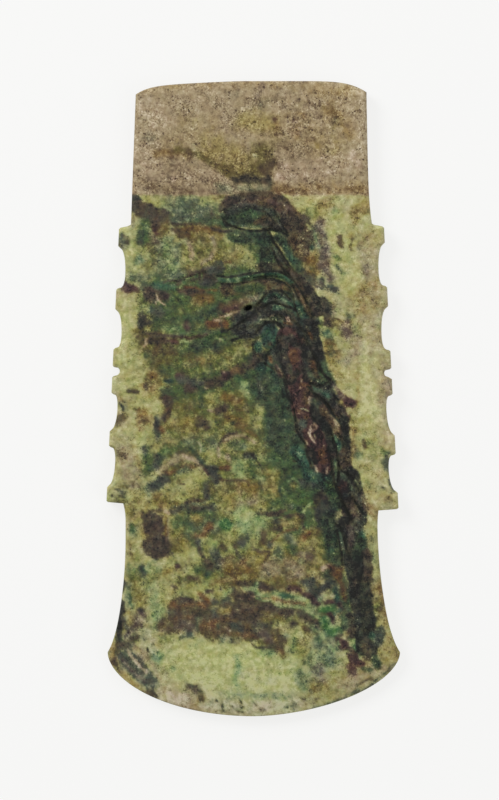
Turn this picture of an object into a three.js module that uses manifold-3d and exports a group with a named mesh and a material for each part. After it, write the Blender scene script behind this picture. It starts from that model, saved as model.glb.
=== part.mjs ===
// Bronze age axe head: a flat, polished jade blade with six low teeth down each side and a flared cutting edge.
// It lies on its back. X runs across the blade, Y from the cutting edge to the butt, Z up through its thickness.
// The origin is under the middle of the blade, on the plane it lies on. Units are millimetres.
// A crust of copper corrosion has grown onto the upper face, with the marks of folded cloth in it.

import * as THREE from "three";
import { mergeVertices } from "three/addons/utils/BufferGeometryUtils.js";
import Module from "manifold-3d";

// Driving dimensions. A depth is a distance from the butt end towards the cutting edge.
const LENGTH = 190.4;
const EAR_DEPTH = 171.2; // widest place, where the cutting edge starts
const TOOTH_CORNER = 0.45; // rounding of a tooth's corners
const SCALLOP_STEPS = 7;
const WAIST_STEPS = 13;

// The two sides differ a little, as hand work does. Each tooth is [depth of its top, depth of its bottom].
const SIDES = {
  left: {
    sign: -1,
    buttCorner: 35.25, // half width at the corner of the butt end
    buttDrop: [[1.75, 1.35], [2.3, 9]], // how the butt end falls to its corner: sum of amount and power
    buttFoot: 36.7,
    buttKick: 0,
    firstTip: 40.25,
    lastTip: 43.8,
    teeth: [[43.9, 49.85], [62.1, 68.75], [80, 85.7], [88.35, 93.75], [104.5, 109.65], [121.2, 126.15]],
    scallops: [2.5, 2.2, 2.2, 2.0, 2.05],
    waist: 38.3,
    waistDepth: 137, // the flare into the ear starts here
    fillet: 0.7,
    ear: 43.7,
    edgePower: 2,
  },
  right: {
    sign: 1,
    buttCorner: 33.9,
    buttDrop: [[3.35, 4.4]],
    buttFoot: 34.65,
    buttKick: 0.9,
    firstTip: 39.15,
    lastTip: 43.25,
    teeth: [[43.5, 48.8], [61.4, 67.85], [80.55, 86.35], [88.85, 94.1], [105.75, 111.95], [122.95, 128.25]],
    scallops: [2.3, 2.4, 2.2, 2.1, 2.35],
    waist: 37.2,
    waistDepth: 131,
    fillet: 0.3,
    ear: 44.0,
    edgePower: 1.75,
  },
};

// Thickness: half of it is carried above the middle plane and half below, and the back is ground flat.
const MIDDLE_PLANE = 3.2;
const FACE_HALF = 2.7; // half thickness just inside the rim
const DOME = 0.75; // extra half thickness far from the rim
const DOME_REACH = 26;
const RIM_HALF = 1.55;
const RIM_BEVEL = 1.5; // width of the rounded arris round the sides
const EDGE_HALF = 0.3; // half thickness of the cutting edge itself
const EDGE_BEVEL = 17; // width of the ground bevel above the cutting edge
const BUTT_HALF = 2.8; // the butt is ground flat to this half thickness
const BUTT_FLAT_DEPTH = 33.5; // the flat ends here, and the face swells from it
const BUTT_SWELL = 7;

const smooth = (from, to, x) => {
  const t = Math.min(1, Math.max(0, (x - from) / (to - from)));
  return t * t * (3 - 2 * t);
};
const mix = (a, b, t) => a + (b - a) * t;
const yAt = (depth) => LENGTH / 2 - depth;

// Half width of the line through the tooth tips, at a depth.
function tipWidth(side, depth) {
  const last = side.teeth[side.teeth.length - 1][0];
  const t = (depth - side.teeth[0][0]) / (last - side.teeth[0][0]);
  return mix(side.firstTip, side.lastTip, t);
}

// How far a scallop sinks below the tips, at a share t of its length. It is a skewed half oval: gentle towards
// the nearer end of the blade and steep towards the small notch half way along the teeth.
function scallopShare(t, apex) {
  const w = t < apex ? t / apex : (1 - t) / (1 - apex);
  const gentle = (t < apex) === (apex > 0.5);
  return (1 - (1 - w) ** 2) ** (gentle ? 0.4 : 0.22);
}
const APEX = [0.65, 0.65, 0.5, 0.4, 0.4];

// Half width below the teeth: a straight waist that flares into the ear.
function waistWidth(side, depth, start) {
  const t = Math.max(0, (depth - side.waistDepth) / (EAR_DEPTH - side.waistDepth));
  const fillet = side.fillet * Math.max(0, 1 - (depth - start) / 5) ** 2;
  return side.waist + fillet + (side.ear - side.waist) * (0.78 * t ** 2 + 0.22 * t ** 10);
}

// How far the butt end has fallen at x: flat in the middle, falling to its corners.
const CROWN = { left: -3, right: 12 }; // the flat stretch of the butt end
function buttEndDrop(x) {
  const side = x < 0 ? SIDES.left : SIDES.right;
  const crown = Math.abs(x < 0 ? CROWN.left : CROWN.right);
  const t = Math.max(0, (Math.abs(x) - crown) / (side.buttCorner - crown));
  return side.buttDrop.reduce((sum, [amount, power]) => sum + amount * t ** power, 0);
}

// One side from the butt corner down to the ear, as [x, y] points. Both sides have the same number of points.
function sideOutline(side) {
  const points = [];
  const add = (half, depth) => points.push([side.sign * half, yAt(depth)]);
  const corner = buttEndDrop(side.sign * side.buttCorner);
  for (const t of [0, 0.07, 0.25, 0.5, 0.78, 0.93, 1]) {
    const half = mix(side.buttCorner, side.buttFoot, t) + side.buttKick * t ** 6;
    add(half, mix(corner, side.teeth[0][0] - 0.6, t));
  }
  side.teeth.forEach(([top, bottom], i) => {
    const tip = (depth) => tipWidth(side, depth);
    add(tip(top) - TOOTH_CORNER, top);
    add(tip(top), top + TOOTH_CORNER);
    add(tip(bottom), bottom - TOOTH_CORNER);
    add(tip(bottom) - TOOTH_CORNER, bottom);
    if (i === side.teeth.length - 1) return;
    const next = side.teeth[i + 1][0];
    for (let k = 1; k < SCALLOP_STEPS; k++) {
      const t = (1 - Math.cos((Math.PI * k) / SCALLOP_STEPS)) / 2;
      const depth = mix(bottom, next, t);
      add(tip(depth) - Math.max(TOOTH_CORNER, side.scallops[i] * scallopShare(t, APEX[i])), depth);
    }
  });
  const start = side.teeth[side.teeth.length - 1][1] + 0.4;
  for (let k = 0; k <= WAIST_STEPS; k++) {
    const depth = mix(start, EAR_DEPTH, 1 - (1 - k / WAIST_STEPS) ** 1.3);
    add(waistWidth(side, depth, start), depth);
  }
  return points;
}

// The butt end, from left to right.
function buttEnd(u) {
  const x = mix(-SIDES.left.buttCorner, SIDES.right.buttCorner, u);
  return [x, yAt(buttEndDrop(x))];
}

// The cutting edge, from left to right: a bellied curve hung between the ears.
function cuttingEdge(u) {
  const w = 2 * u - 1;
  const side = w < 0 ? SIDES.left : SIDES.right;
  const share = Math.abs(mix(w, Math.sin((w * Math.PI) / 2), 0.5));
  const sag = (LENGTH - EAR_DEPTH) * Math.max(0, 1 - share ** side.edgePower) ** 0.55;
  return [side.sign * side.ear * share, yAt(EAR_DEPTH + sag)];
}

// The ladder of rows between the two sides and of columns between the butt end and the cutting edge.
const HALF_COLUMNS = [0, 0.006, 0.018, 0.045, 0.095, 0.17, 0.27, 0.385];
const COLUMNS = [...HALF_COLUMNS, 0.5, ...HALF_COLUMNS.map((u) => 1 - u).reverse()];
const left = sideOutline(SIDES.left);
const right = sideOutline(SIDES.right);
const rowShare = left.map((_, i) => (left[0][1] - left[i][1]) / (left[0][1] - yAt(EAR_DEPTH)));

// A point of row i at column share u. Each row runs straight across from side to side, and the curves of the
// butt end and of the cutting edge fade out of the rows nearest to them.
const BUTT_FADE = 0.2;
const EDGE_FADE = 0.26;
function facePoint(i, u) {
  const last = left.length - 1;
  const nearButt = Math.max(0, 1 - rowShare[i] / BUTT_FADE) ** 2;
  const nearEdge = Math.max(0, 1 - (1 - rowShare[i]) / EDGE_FADE) ** 1.6;
  return [0, 1].map((axis) => {
    const straight = mix(left[i][axis], right[i][axis], u);
    const butt = buttEnd(u)[axis] - mix(left[0][axis], right[0][axis], u);
    const edge = cuttingEdge(u)[axis] - mix(left[last][axis], right[last][axis], u);
    return straight + nearButt * butt + nearEdge * edge;
  });
}

// Distance from a point to a line of points, by its straight stretches.
function distanceTo(line, x, y) {
  let best = Infinity;
  for (let i = 1; i < line.length; i++) {
    const [ax, ay] = line[i - 1];
    const [bx, by] = line[i];
    const length2 = (bx - ax) ** 2 + (by - ay) ** 2;
    const t = Math.min(1, Math.max(0, ((x - ax) * (bx - ax) + (y - ay) * (by - ay)) / length2));
    best = Math.min(best, Math.hypot(x - mix(ax, bx, t), y - mix(ay, by, t)));
  }
  return best;
}

const steps = (count) => [...Array(count + 1).keys()].map((k) => k / count);
const sideRims = [left, right, steps(60).map(buttEnd)];
const edgeRim = steps(80).map(cuttingEdge);

// Half thickness of the blade at a point of its face.
function halfThickness(x, y) {
  const fromSides = Math.min(...sideRims.map((line) => distanceTo(line, x, y)));
  const fromEdge = distanceTo(edgeRim, x, y);
  const arris = Math.sqrt(1 - (1 - Math.min(1, fromSides / RIM_BEVEL)) ** 2);
  const bevel = Math.min(1, fromEdge / EDGE_BEVEL);
  const dome = DOME * smooth(0, DOME_REACH, Math.min(fromSides, fromEdge));
  const face = FACE_HALF + dome;
  const ground = mix(EDGE_HALF, face, Math.sin((bevel * Math.PI) / 2) ** 0.9);
  const rounded = mix(RIM_HALF, face, arris);
  const depth = LENGTH / 2 - y;
  const swell = smooth(BUTT_FLAT_DEPTH, BUTT_FLAT_DEPTH + BUTT_SWELL, depth);
  return Math.min(ground, rounded, mix(BUTT_HALF, FACE_HALF + DOME, swell));
}
const faceHeight = (x, y) => MIDDLE_PLANE + halfThickness(x, y);

// A closed mesh from rings of points: each ring is joined to the next, and the two ends are filled from a hub.
function meshOf(positions, triangles) {
  const geometry = new THREE.BufferGeometry();
  geometry.setAttribute("position", new THREE.BufferAttribute(new Float32Array(positions.flat()), 3));
  geometry.setIndex(triangles.flat());
  return geometry;
}

// The blade: the upper face and the back share the ladder's outline, with a wall between them.
function bladeGeometry() {
  const rows = left.length;
  const columns = COLUMNS.length;
  const positions = [];
  for (const above of [1, -1]) {
    for (let i = 0; i < rows; i++) {
      for (const u of COLUMNS) {
        const [x, y] = facePoint(i, u);
        const z = MIDDLE_PLANE + above * halfThickness(x, y);
        positions.push([x, y, Math.max(0, z)]);
      }
    }
  }
  const at = (i, j, back) => back * rows * columns + i * columns + j;
  const triangles = [];
  const quad = (a, b, c, d) => triangles.push([a, b, c], [a, c, d]);
  for (let i = 0; i < rows - 1; i++) {
    for (let j = 0; j < columns - 1; j++) {
      quad(at(i, j, 0), at(i + 1, j, 0), at(i + 1, j + 1, 0), at(i, j + 1, 0));
      quad(at(i, j, 1), at(i, j + 1, 1), at(i + 1, j + 1, 1), at(i + 1, j, 1));
    }
    quad(at(i, 0, 0), at(i, 0, 1), at(i + 1, 0, 1), at(i + 1, 0, 0));
    const end = columns - 1;
    quad(at(i, end, 0), at(i + 1, end, 0), at(i + 1, end, 1), at(i, end, 1));
  }
  for (let j = 0; j < columns - 1; j++) {
    const end = rows - 1;
    quad(at(0, j, 0), at(0, j + 1, 0), at(0, j + 1, 1), at(0, j, 1));
    quad(at(end, j, 0), at(end, j, 1), at(end, j + 1, 1), at(end, j + 1, 0));
  }
  return meshOf(positions, triangles);
}

// A low ridge of crust that runs along a path on the face: a lens-shaped section, thin at both ends.
const RIDGE_SECTION = 6;
const RIDGE_FOOT = 0.8; // how deep a ridge is rooted below the face
function ridgeGeometry({ path, width, height }) {
  const curve = new THREE.CatmullRomCurve3(path.map(([x, depth]) => new THREE.Vector3(x, yAt(depth), 0)));
  const count = Math.max(8, Math.round(curve.getLength() / 3.2));
  const positions = [];
  for (let k = 0; k <= count; k++) {
    const t = k / count;
    const centre = curve.getPointAt(t);
    const along = curve.getTangentAt(t);
    const swell = Math.max(0.12, Math.sin(Math.PI * mix(0.03, 0.97, t)) ** 0.6);
    for (let s = 0; s < RIDGE_SECTION; s++) {
      const turn = (Math.PI * s) / (RIDGE_SECTION - 1);
      const across = (width / 2) * swell * Math.cos(turn);
      const x = centre.x + across * along.y;
      const y = centre.y - across * along.x;
      const rise = height * swell * Math.sin(turn) - (s === 0 || s === RIDGE_SECTION - 1 ? RIDGE_FOOT : 0);
      positions.push([x, y, faceHeight(x, y) + rise]);
    }
  }
  const triangles = [];
  const at = (k, s) => k * RIDGE_SECTION + (s % RIDGE_SECTION);
  for (let k = 0; k < count; k++) {
    for (let s = 0; s < RIDGE_SECTION; s++) {
      triangles.push([at(k, s), at(k + 1, s + 1), at(k, s + 1)], [at(k, s), at(k + 1, s), at(k + 1, s + 1)]);
    }
  }
  for (let s = 1; s < RIDGE_SECTION - 1; s++) {
    triangles.push([at(0, 0), at(0, s), at(0, s + 1)], [at(count, 0), at(count, s + 1), at(count, s)]);
  }
  return meshOf(positions, triangles);
}

// The crust on the upper face. A path's points are [x, depth].
const CRUST = {
  leaf: { path: [[-9.2, 40.6], [-4, 40.0], [2, 40.6], [9.2, 44.6]], width: 7, height: 0.5 },
  longCrease: { path: [[5.3, 45.2], [9.2, 52], [12.5, 59], [15, 66], [18, 72.5]], width: 2, height: 0.9 },
  upperFold: { path: [[-11.6, 60.4], [-2, 58.2], [7.5, 57.8], [12.6, 61.5], [14.2, 65.5]], width: 2, height: 1.0 },
  middleFold: { path: [[-0.4, 67.6], [3, 64.6], [8, 63.2], [12, 66], [13.2, 69]], width: 2.6, height: 0.9 },
  lowerFold: { path: [[-6.4, 74.4], [0.8, 72.2], [5, 69.8], [10.6, 71.2]], width: 2.4, height: 0.8 },
  hemFold: { path: [[-9.4, 77.8], [0.8, 76.2], [4.5, 73.6], [7.8, 73.4]], width: 2, height: 0.6 },
  swelling: { path: [[1.5, 83], [5, 78.5], [8.5, 74.5]], width: 5, height: 0.7 },
  leftFold: { path: [[-26.5, 61], [-20, 58], [-10.5, 56]], width: 2, height: 0.5 },
  leftCrease: { path: [[-31, 77], [-20, 76.4], [-10, 75.4], [-4.6, 73]], width: 2, height: 0.5 },
  core: { path: [[9, 73.2], [12, 82], [14, 94], [18.5, 108], [22, 118]], width: 9.5, height: 0.6 },
  coreShoulder: { path: [[16.5, 80], [19.5, 88], [23.5, 96], [26, 103], [27.5, 114]], width: 3.4, height: 1.0 },
  strip: { path: [[24, 106], [26.4, 113], [28, 121]], width: 2.2, height: 0.9 },
  lowerCrust: { path: [[27, 117], [29.5, 126], [31.5, 133]], width: 5.4, height: 0.6 },
  tail: { path: [[29.5, 130], [30.5, 143], [33, 156], [34.8, 168], [35.4, 173]], width: 5, height: 0.4 },
};

// The small dark pit left where a fold of the crust has broken through.
const PIT = { x: -1.5, depth: 68, radius: 0.9, stretch: 1.4, turn: 0.35, deep: 2.6 };
function pitGeometry() {
  const geometry = new THREE.CylinderGeometry(PIT.radius, PIT.radius * 0.6, 2 * PIT.deep, 10);
  geometry.rotateX(Math.PI / 2);
  geometry.scale(PIT.stretch, 1, 1);
  geometry.rotateZ(PIT.turn);
  geometry.translate(PIT.x, yAt(PIT.depth), faceHeight(PIT.x, yAt(PIT.depth)));
  return geometry;
}

// three.js geometry to a solid and back, for joining and cutting.
const wasm = await Module();
wasm.setup();

function toSolid(geometry) {
  const bare = geometry.clone();
  bare.deleteAttribute("normal");
  bare.deleteAttribute("uv");
  const merged = mergeVertices(bare, 1e-4);
  const vertProperties = merged.attributes.position.array;
  return new wasm.Manifold(new wasm.Mesh({ numProp: 3, vertProperties, triVerts: new Uint32Array(merged.index.array) }));
}

function fromSolid(solid) {
  const mesh = solid.getMesh();
  const geometry = new THREE.BufferGeometry();
  geometry.setAttribute("position", new THREE.BufferAttribute(mesh.vertProperties, 3));
  geometry.setIndex(new THREE.BufferAttribute(mesh.triVerts, 1));
  geometry.computeVertexNormals();
  return geometry;
}

let solid = toSolid(bladeGeometry());
for (const ridge of Object.values(CRUST)) {
  solid = solid.add(toSolid(ridgeGeometry(ridge)));
}
solid = solid.subtract(toSolid(pitGeometry()));

const jade = new THREE.MeshStandardMaterial({ color: 0x8c865c, roughness: 0.5, metalness: 0 });
const axeHead = new THREE.Mesh(fromSolid(solid), jade);
axeHead.name = "axe_head";

const axe = new THREE.Group();
axe.add(axeHead);

export default axe;
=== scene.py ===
# %% [markdown]
# # A jade axe blade, stained by the bronze it lay with
# This is one thin slab of jade: a long blade with six low teeth down each side and a flared, ground
# cutting edge. Its butt was once held in a handle and stayed beige. The rest lay against bronze and cloth
# in the ground, so copper has dyed it green, iron has dyed it brown, and a crust of corrosion with the
# folds of the cloth in it has grown down the upper face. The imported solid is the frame: it fixes the size
# and the outline, and everything made here lies on it. Working in millimetres is easier on the eye, so
# each mesh is scaled to metres at the very end.

# %% Load the frame
import math

import bpy
import numpy as np
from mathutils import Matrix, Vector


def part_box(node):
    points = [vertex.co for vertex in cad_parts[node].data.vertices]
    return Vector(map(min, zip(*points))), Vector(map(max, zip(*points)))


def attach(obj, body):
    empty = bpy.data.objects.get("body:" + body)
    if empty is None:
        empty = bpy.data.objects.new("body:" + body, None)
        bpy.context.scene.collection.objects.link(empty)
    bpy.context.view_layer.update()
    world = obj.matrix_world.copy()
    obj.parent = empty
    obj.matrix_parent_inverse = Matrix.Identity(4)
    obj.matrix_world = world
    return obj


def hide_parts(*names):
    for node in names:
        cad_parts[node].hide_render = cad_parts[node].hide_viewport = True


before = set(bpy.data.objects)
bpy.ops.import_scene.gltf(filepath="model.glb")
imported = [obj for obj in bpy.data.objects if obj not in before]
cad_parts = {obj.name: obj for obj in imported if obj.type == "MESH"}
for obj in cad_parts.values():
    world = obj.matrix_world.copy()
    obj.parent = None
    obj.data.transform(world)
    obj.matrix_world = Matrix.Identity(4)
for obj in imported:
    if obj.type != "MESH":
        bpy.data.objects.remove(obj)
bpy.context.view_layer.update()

MM = 0.001
low, high = (np.array(corner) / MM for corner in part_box("axe_head"))
LENGTH = high[1] - low[1]
TOP, BOTTOM = high[2], low[2]
print("the solid measures", np.round(high - low, 2), "mm")

# %% [markdown]
# ## Working out shapes with numpy
# Stone that has lain in the ground is never smooth or even: its edges wander, its stains are ragged. A
# few small helpers make that unevenness. `noise` lays random values on a square lattice and blends
# between them, `cloud` adds several sizes of it, and `distance_to` measures how far every point lies from
# a given line. They work on whole arrays at once, so a hundred thousand points take a blink.

# %% Helpers
SCATTER = (374761393, 668265263, 974634777, 1274126177)  # large odd numbers that mix up the bits


def smooth(a, b, x):
    """t^2 (3 - 2 t) with t = (x - a) / (b - a) held between 0 and 1."""
    t = np.clip((x - a) / (b - a), 0.0, 1.0)
    return t * t * (3.0 - 2.0 * t)


def mix(a, b, t):
    """a + (b - a) t."""
    return a + (b - a) * t


def noise(x, y, size, seed=0):
    """Value noise from -1 to 1: random lattice values `size` apart, blended by smooth steps in x and y."""
    gx, gy = x / size, y / size
    ix, iy = np.floor(gx).astype(np.int64), np.floor(gy).astype(np.int64)
    fx, fy = gx - ix, gy - iy
    fx, fy = fx * fx * (3 - 2 * fx), fy * fy * (3 - 2 * fy)

    def corner(i, j):
        h = (i * SCATTER[0] + j * SCATTER[1] + seed * SCATTER[2]) & 0xFFFFFFFF
        h = ((h ^ (h >> 13)) * SCATTER[3]) & 0xFFFFFFFF
        return ((h ^ (h >> 16)) & 0xFFFF) / 32767.5 - 1.0

    low = corner(ix, iy) * (1 - fx) + corner(ix + 1, iy) * fx
    high = corner(ix, iy + 1) * (1 - fx) + corner(ix + 1, iy + 1) * fx
    return low * (1 - fy) + high * fy


def cloud(x, y, size, seed=0, octaves=4, gain=0.55):
    """Sum of noises, each half the size and `gain` times the height of the last, and turned 37 degrees."""
    total, height, reach = 0.0, 1.0, 0.0
    for k in range(octaves):
        total = total + height * noise(x, y, size, seed + 11 * k)
        reach += height
        x, y = 0.8 * x - 0.6 * y, 0.6 * x + 0.8 * y
        size, height = size * 0.5, height * gain
    return total / reach


def distance_to(line, x, d):
    """Distance from each point (x, d) to a line of points: the least of those to its straight parts."""
    line = np.atleast_2d(np.asarray(line, float))
    if len(line) == 1:
        return np.hypot(x - line[0, 0], d - line[0, 1])
    best = np.full(np.shape(x), np.inf)
    for (ax, ad), (bx, bd) in zip(line[:-1], line[1:]):
        t = ((x - ax) * (bx - ax) + (d - ad) * (bd - ad)) / ((bx - ax) ** 2 + (bd - ad) ** 2)
        t = np.clip(t, 0.0, 1.0)
        best = np.minimum(best, np.hypot(x - ax - t * (bx - ax), d - ad - t * (bd - ad)))
    return best


print("value noise of 3 points:", np.round(noise(np.array([0.2, 1.5, 3.1]), np.zeros(3), 1.0), 2))


# %% [markdown]
# ## The outline
# Seen from above, each side runs from the butt corner down to the first tooth, over six teeth with
# shallow scallops between them, along a straight waist, and flares out into an ear where the cutting edge
# starts. Sawn and ground by hand, the two sides are not quite mirror images, so each has its own sizes. A
# side is kept as a half width for every depth, and a depth is a distance from the butt end. That makes a
# row of points straight across the blade simple.

# %% Sizes of the two sides
EAR_DEPTH = 171.2
TOOTH_CORNER = 0.45  # how much each tooth's corners are cut off
TOOTH_LEAD, TOOTH_TRAIL = 0.6, 0.4  # length of the step up to the first tooth, and of that after the last
FILLET_REACH = 5  # how far the waist takes to settle below the last tooth
FLARE = ((0.78, 2), (0.22, 10))  # the flare from the waist to the ear, as (share, power)
SIDES = {
    -1: dict(
        butt_corner=35.25,  # half width at the corner of the butt
        butt_drop=((1.75, 1.35), (2.3, 9)),  # (amount, power) of how the butt end falls away to that corner
        butt_foot=36.7,  # half width just above the first tooth
        butt_kick=0,  # how far the side swings out there
        crown=3,  # x from which the butt end falls away
        tips=(40.25, 43.8),  # half widths at the first and the last tooth
        scallops=(2.5, 2.2, 2.2, 2.0, 2.05),  # how deep the side is cut in between the teeth
        teeth=((43.9, 49.85), (62.1, 68.75), (80, 85.7), (88.35, 93.75), (104.5, 109.65), (121.2, 126.15)),
        waist=38.3,  # least half width
        waist_depth=137,  # depth from which the side flares out
        fillet=0.7,  # how much wider it is just below the last tooth
        ear=43.7,  # half width at the ear
        edge_power=2,  # how full the curve of the cutting edge is
    ),
    1: dict(
        butt_corner=33.9,
        butt_drop=((3.35, 4.4),),
        butt_foot=34.65,
        butt_kick=0.9,
        crown=12,
        tips=(39.15, 43.25),
        scallops=(2.3, 2.4, 2.2, 2.1, 2.35),
        teeth=(
            (43.5, 48.8), (61.4, 67.85), (80.55, 86.35), (88.85, 94.1), (105.75, 111.95), (122.95, 128.25)
        ),
        waist=37.2,
        waist_depth=131,
        fillet=0.3,
        ear=44.0,
        edge_power=1.75,
    ),
}
APEX = (0.65, 0.65, 0.5, 0.4, 0.4)  # where along its length each scallop is deepest


# %% One side as a half width for each depth
def butt_end_drop(x):
    """Depth of the butt end at x: a sum of amount * t ^ power, t = 0 at the crown, 1 at the corner."""
    total = np.zeros(np.shape(x))
    for sign, side in SIDES.items():
        t = np.clip((sign * x - side["crown"]) / (side["butt_corner"] - side["crown"]), 0, None)
        total += sum(amount * t**power for amount, power in side["butt_drop"])
    return total


def scallop_share(t, apex):
    """(1 - (1 - w)^2) ^ p, a skewed half oval: gentle on the long side of its apex, steep on the other."""
    w = np.where(t < apex, t / apex, (1 - t) / (1 - apex))
    gentle = (t < apex) == (apex > 0.5)
    return (1 - (1 - w) ** 2) ** np.where(gentle, 0.4, 0.22)


def side_profile(sign):
    """Depths and half widths of one side, stretch by stretch from the butt corner to the ear."""
    side = SIDES[sign]
    teeth = side["teeth"]
    corner = float(butt_end_drop(sign * side["butt_corner"]))

    def tip(depth):
        return mix(*side["tips"], (depth - teeth[0][0]) / (teeth[-1][0] - teeth[0][0]))

    t = np.linspace(0, 1, 14)
    depths = [mix(corner, teeth[0][0] - TOOTH_LEAD, t)]
    halves = [mix(side["butt_corner"], side["butt_foot"], t) + side["butt_kick"] * t**6]
    for i, (top, bottom) in enumerate(teeth):
        depths.append(np.array([top, top + TOOTH_CORNER, bottom - TOOTH_CORNER, bottom]))
        halves.append(tip(depths[-1]) - TOOTH_CORNER * np.array([1, 0, 0, 1]))
        if i + 1 < len(teeth):
            t = (1 - np.cos(np.pi * np.linspace(0, 1, 18)[1:-1])) / 2
            depths.append(mix(bottom, teeth[i + 1][0], t))
            sunk = np.maximum(TOOTH_CORNER, side["scallops"][i] * scallop_share(t, APEX[i]))
            halves.append(tip(depths[-1]) - sunk)
    start = teeth[-1][1] + TOOTH_TRAIL
    depths.append(mix(start, EAR_DEPTH, 1 - (1 - np.linspace(0, 1, 40)) ** 1.3))
    t = np.clip((depths[-1] - side["waist_depth"]) / (EAR_DEPTH - side["waist_depth"]), 0, None)
    fillet = side["fillet"] * np.clip(1 - (depths[-1] - start) / FILLET_REACH, 0, None) ** 2
    flare = sum(share * t**power for share, power in FLARE)
    halves.append(side["waist"] + fillet + (side["ear"] - side["waist"]) * flare)
    return np.concatenate(depths), np.concatenate(halves)


PROFILE = {sign: side_profile(sign) for sign in SIDES}
CORNER = {sign: PROFILE[sign][0][0] for sign in SIDES}
print("half widths at the ears:", PROFILE[-1][1][-1], PROFILE[1][1][-1], "mm")

# %% [markdown]
# ## Rows and columns
# The face is a grid of two parameters: a row's depth goes down the blade, and the columns go across. Rows
# run straight across, so that every tooth keeps its square corners. Only the first rows bend to the butt
# end, and only the last rows to the bellied cutting edge. Columns are even between two quiet inner lines.
# Outside those lines they follow the teeth in and out, closest together at the rim, where the arris is
# rounded.

# %% The grid of the face
MEAN_CORNER = (CORNER[-1] + CORNER[1]) / 2
LEAN_DEPTH = 12  # the rows lean from one butt corner to the other down to here
BUTT_FADE, EDGE_FADE = 0.2, 0.26  # share of the length over which the end curves fade out of the rows
# (from, to, step) of the rows, how far they keep from tooth corners, and tooth corners from each other
ROW_STEPS = ((MEAN_CORNER, 33, 0.74), (33, 125, 0.37), (125, EAR_DEPTH, 0.46))
CORNER_ROOM, CORNER_APART = 0.17, 0.09
# half width of the quiet inner lines at each depth
INNER_DEPTH = (3, 44, 118, 128, 140, 160, EAR_DEPTH)
INNER_HALF = (30, 33.2, 35.6, 33.8, 34, 35.2, 38)
# where the fine creases of the crust lie, as a share of the way across, and how columns gather there
CRUST_DEPTH = (36, 60, 80, 100, 120, 140, 165, 190)
CRUST_SHARE = (0.53, 0.56, 0.64, 0.73, 0.83, 0.9, 0.95, 0.95)
GATHER, GATHER_REACH = 0.6, 0.15
FACE_RIM, BACK_RIM = (0, 0.15, 0.4, 0.8, 1.2, 1.7), (0, 0.15, 0.45, 0.9, 1.6)  # columns in from the rim


def row_depths():
    """Depths of the rows: three even runs, with the tooth corners in place of the rows nearest to them."""
    even = np.concatenate([np.arange(a, b, step) for a, b, step in ROW_STEPS])
    corners = np.concatenate([np.array(side["teeth"]).ravel() for side in SIDES.values()])
    corners = np.concatenate([corners, corners + np.tile([TOOTH_CORNER, -TOOTH_CORNER], len(corners) // 2)])
    corners = np.sort(np.append(corners, [side["teeth"][-1][1] + TOOTH_TRAIL for side in SIDES.values()]))
    corners = corners[np.append(True, np.diff(corners) > CORNER_APART)]
    gap = np.abs(even[:, None] - corners[None, :]).min(axis=1)
    return np.sort(np.concatenate([even[gap > CORNER_ROOM], corners, [EAR_DEPTH]]))


def cutting_edge(u):
    """x = ear * share and depth = ear depth + sag, share easing from 0 in the middle to 1 at each ear."""
    w = 2 * u - 1
    share = np.abs(mix(w, np.sin(w * np.pi / 2), 0.5))
    ear = np.where(w < 0, -SIDES[-1]["ear"], SIDES[1]["ear"])
    power = np.where(w < 0, SIDES[-1]["edge_power"], SIDES[1]["edge_power"])
    return ear * share, EAR_DEPTH + (LENGTH - EAR_DEPTH) * np.clip(1 - share**power, 0, None) ** 0.55


def butt_end(u):
    """x runs evenly from corner to corner, and depth is the drop of the butt end there."""
    x = mix(-SIDES[-1]["butt_corner"], SIDES[1]["butt_corner"], u)
    return x, butt_end_drop(x)


def gathered(t, depth):
    """t - gather * reach * tanh((t - crust) / reach), and a line that brings both ends back to 0 and 1."""
    crust = np.interp(depth, CRUST_DEPTH, CRUST_SHARE)[:, None]
    pull = GATHER * smooth(20, 40, depth)[:, None] * GATHER_REACH
    ends = mix(np.tanh(-crust / GATHER_REACH), np.tanh((1 - crust) / GATHER_REACH), t)
    return t - pull * (np.tanh((t - crust) / GATHER_REACH) - ends)


def straight_rows(depth, rim, between, inner):
    """x of every column on straight rows: fixed steps in from each rim, a few to the inner line, and the
    rest within, closer together where the crust is."""
    halves = {}
    for sign in SIDES:
        at = depth + (CORNER[sign] - MEAN_CORNER) * (1 - smooth(MEAN_CORNER, LEAN_DEPTH, depth))
        half = np.interp(at, *PROFILE[sign])[:, None]
        line = np.interp(depth, INNER_DEPTH, INNER_HALF)[:, None]
        t = np.linspace(0, 1, between + 2)[1:-1]
        halves[sign] = np.hstack([half - np.array(rim), mix(half - rim[-1], line, t), line])
    left, right = -halves[-1], halves[1][:, ::-1]
    share = gathered(np.linspace(0, 1, inner + 2)[None, 1:-1], depth)
    return np.hstack([left, mix(left[:, -1:], right[:, :1], share), right])


def face_grid(depth, rim, between, inner):
    """x, depth and share across of each point: straight rows, plus the fading curves of the two ends."""
    x = straight_rows(depth, rim, between, inner)
    u = (x - x[:, :1]) / (x[:, -1:] - x[:, :1])
    leaning = (1 - smooth(MEAN_CORNER, LEAN_DEPTH, depth))[:, None]
    d = depth[:, None] + mix(CORNER[-1] - MEAN_CORNER, CORNER[1] - MEAN_CORNER, u) * leaning
    share = (depth - MEAN_CORNER) / (EAR_DEPTH - MEAN_CORNER)
    near_butt = (np.clip(1 - share / BUTT_FADE, 0, None) ** 2)[:, None]
    near_edge = (np.clip(1 - (1 - share) / EDGE_FADE, 0, None) ** 1.6)[:, None]
    (butt_x, butt_d), (edge_x, edge_d) = butt_end(u), cutting_edge(u)
    first = [mix(a[0, 0], a[0, -1], u) for a in (x, d)]
    last = [mix(a[-1, 0], a[-1, -1], u) for a in (x, d)]
    x = x + near_butt * (butt_x - first[0]) + near_edge * (edge_x - last[0])
    d = d + near_butt * (butt_d - first[1]) + near_edge * (edge_d - last[1])
    return x, d, u


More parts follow.
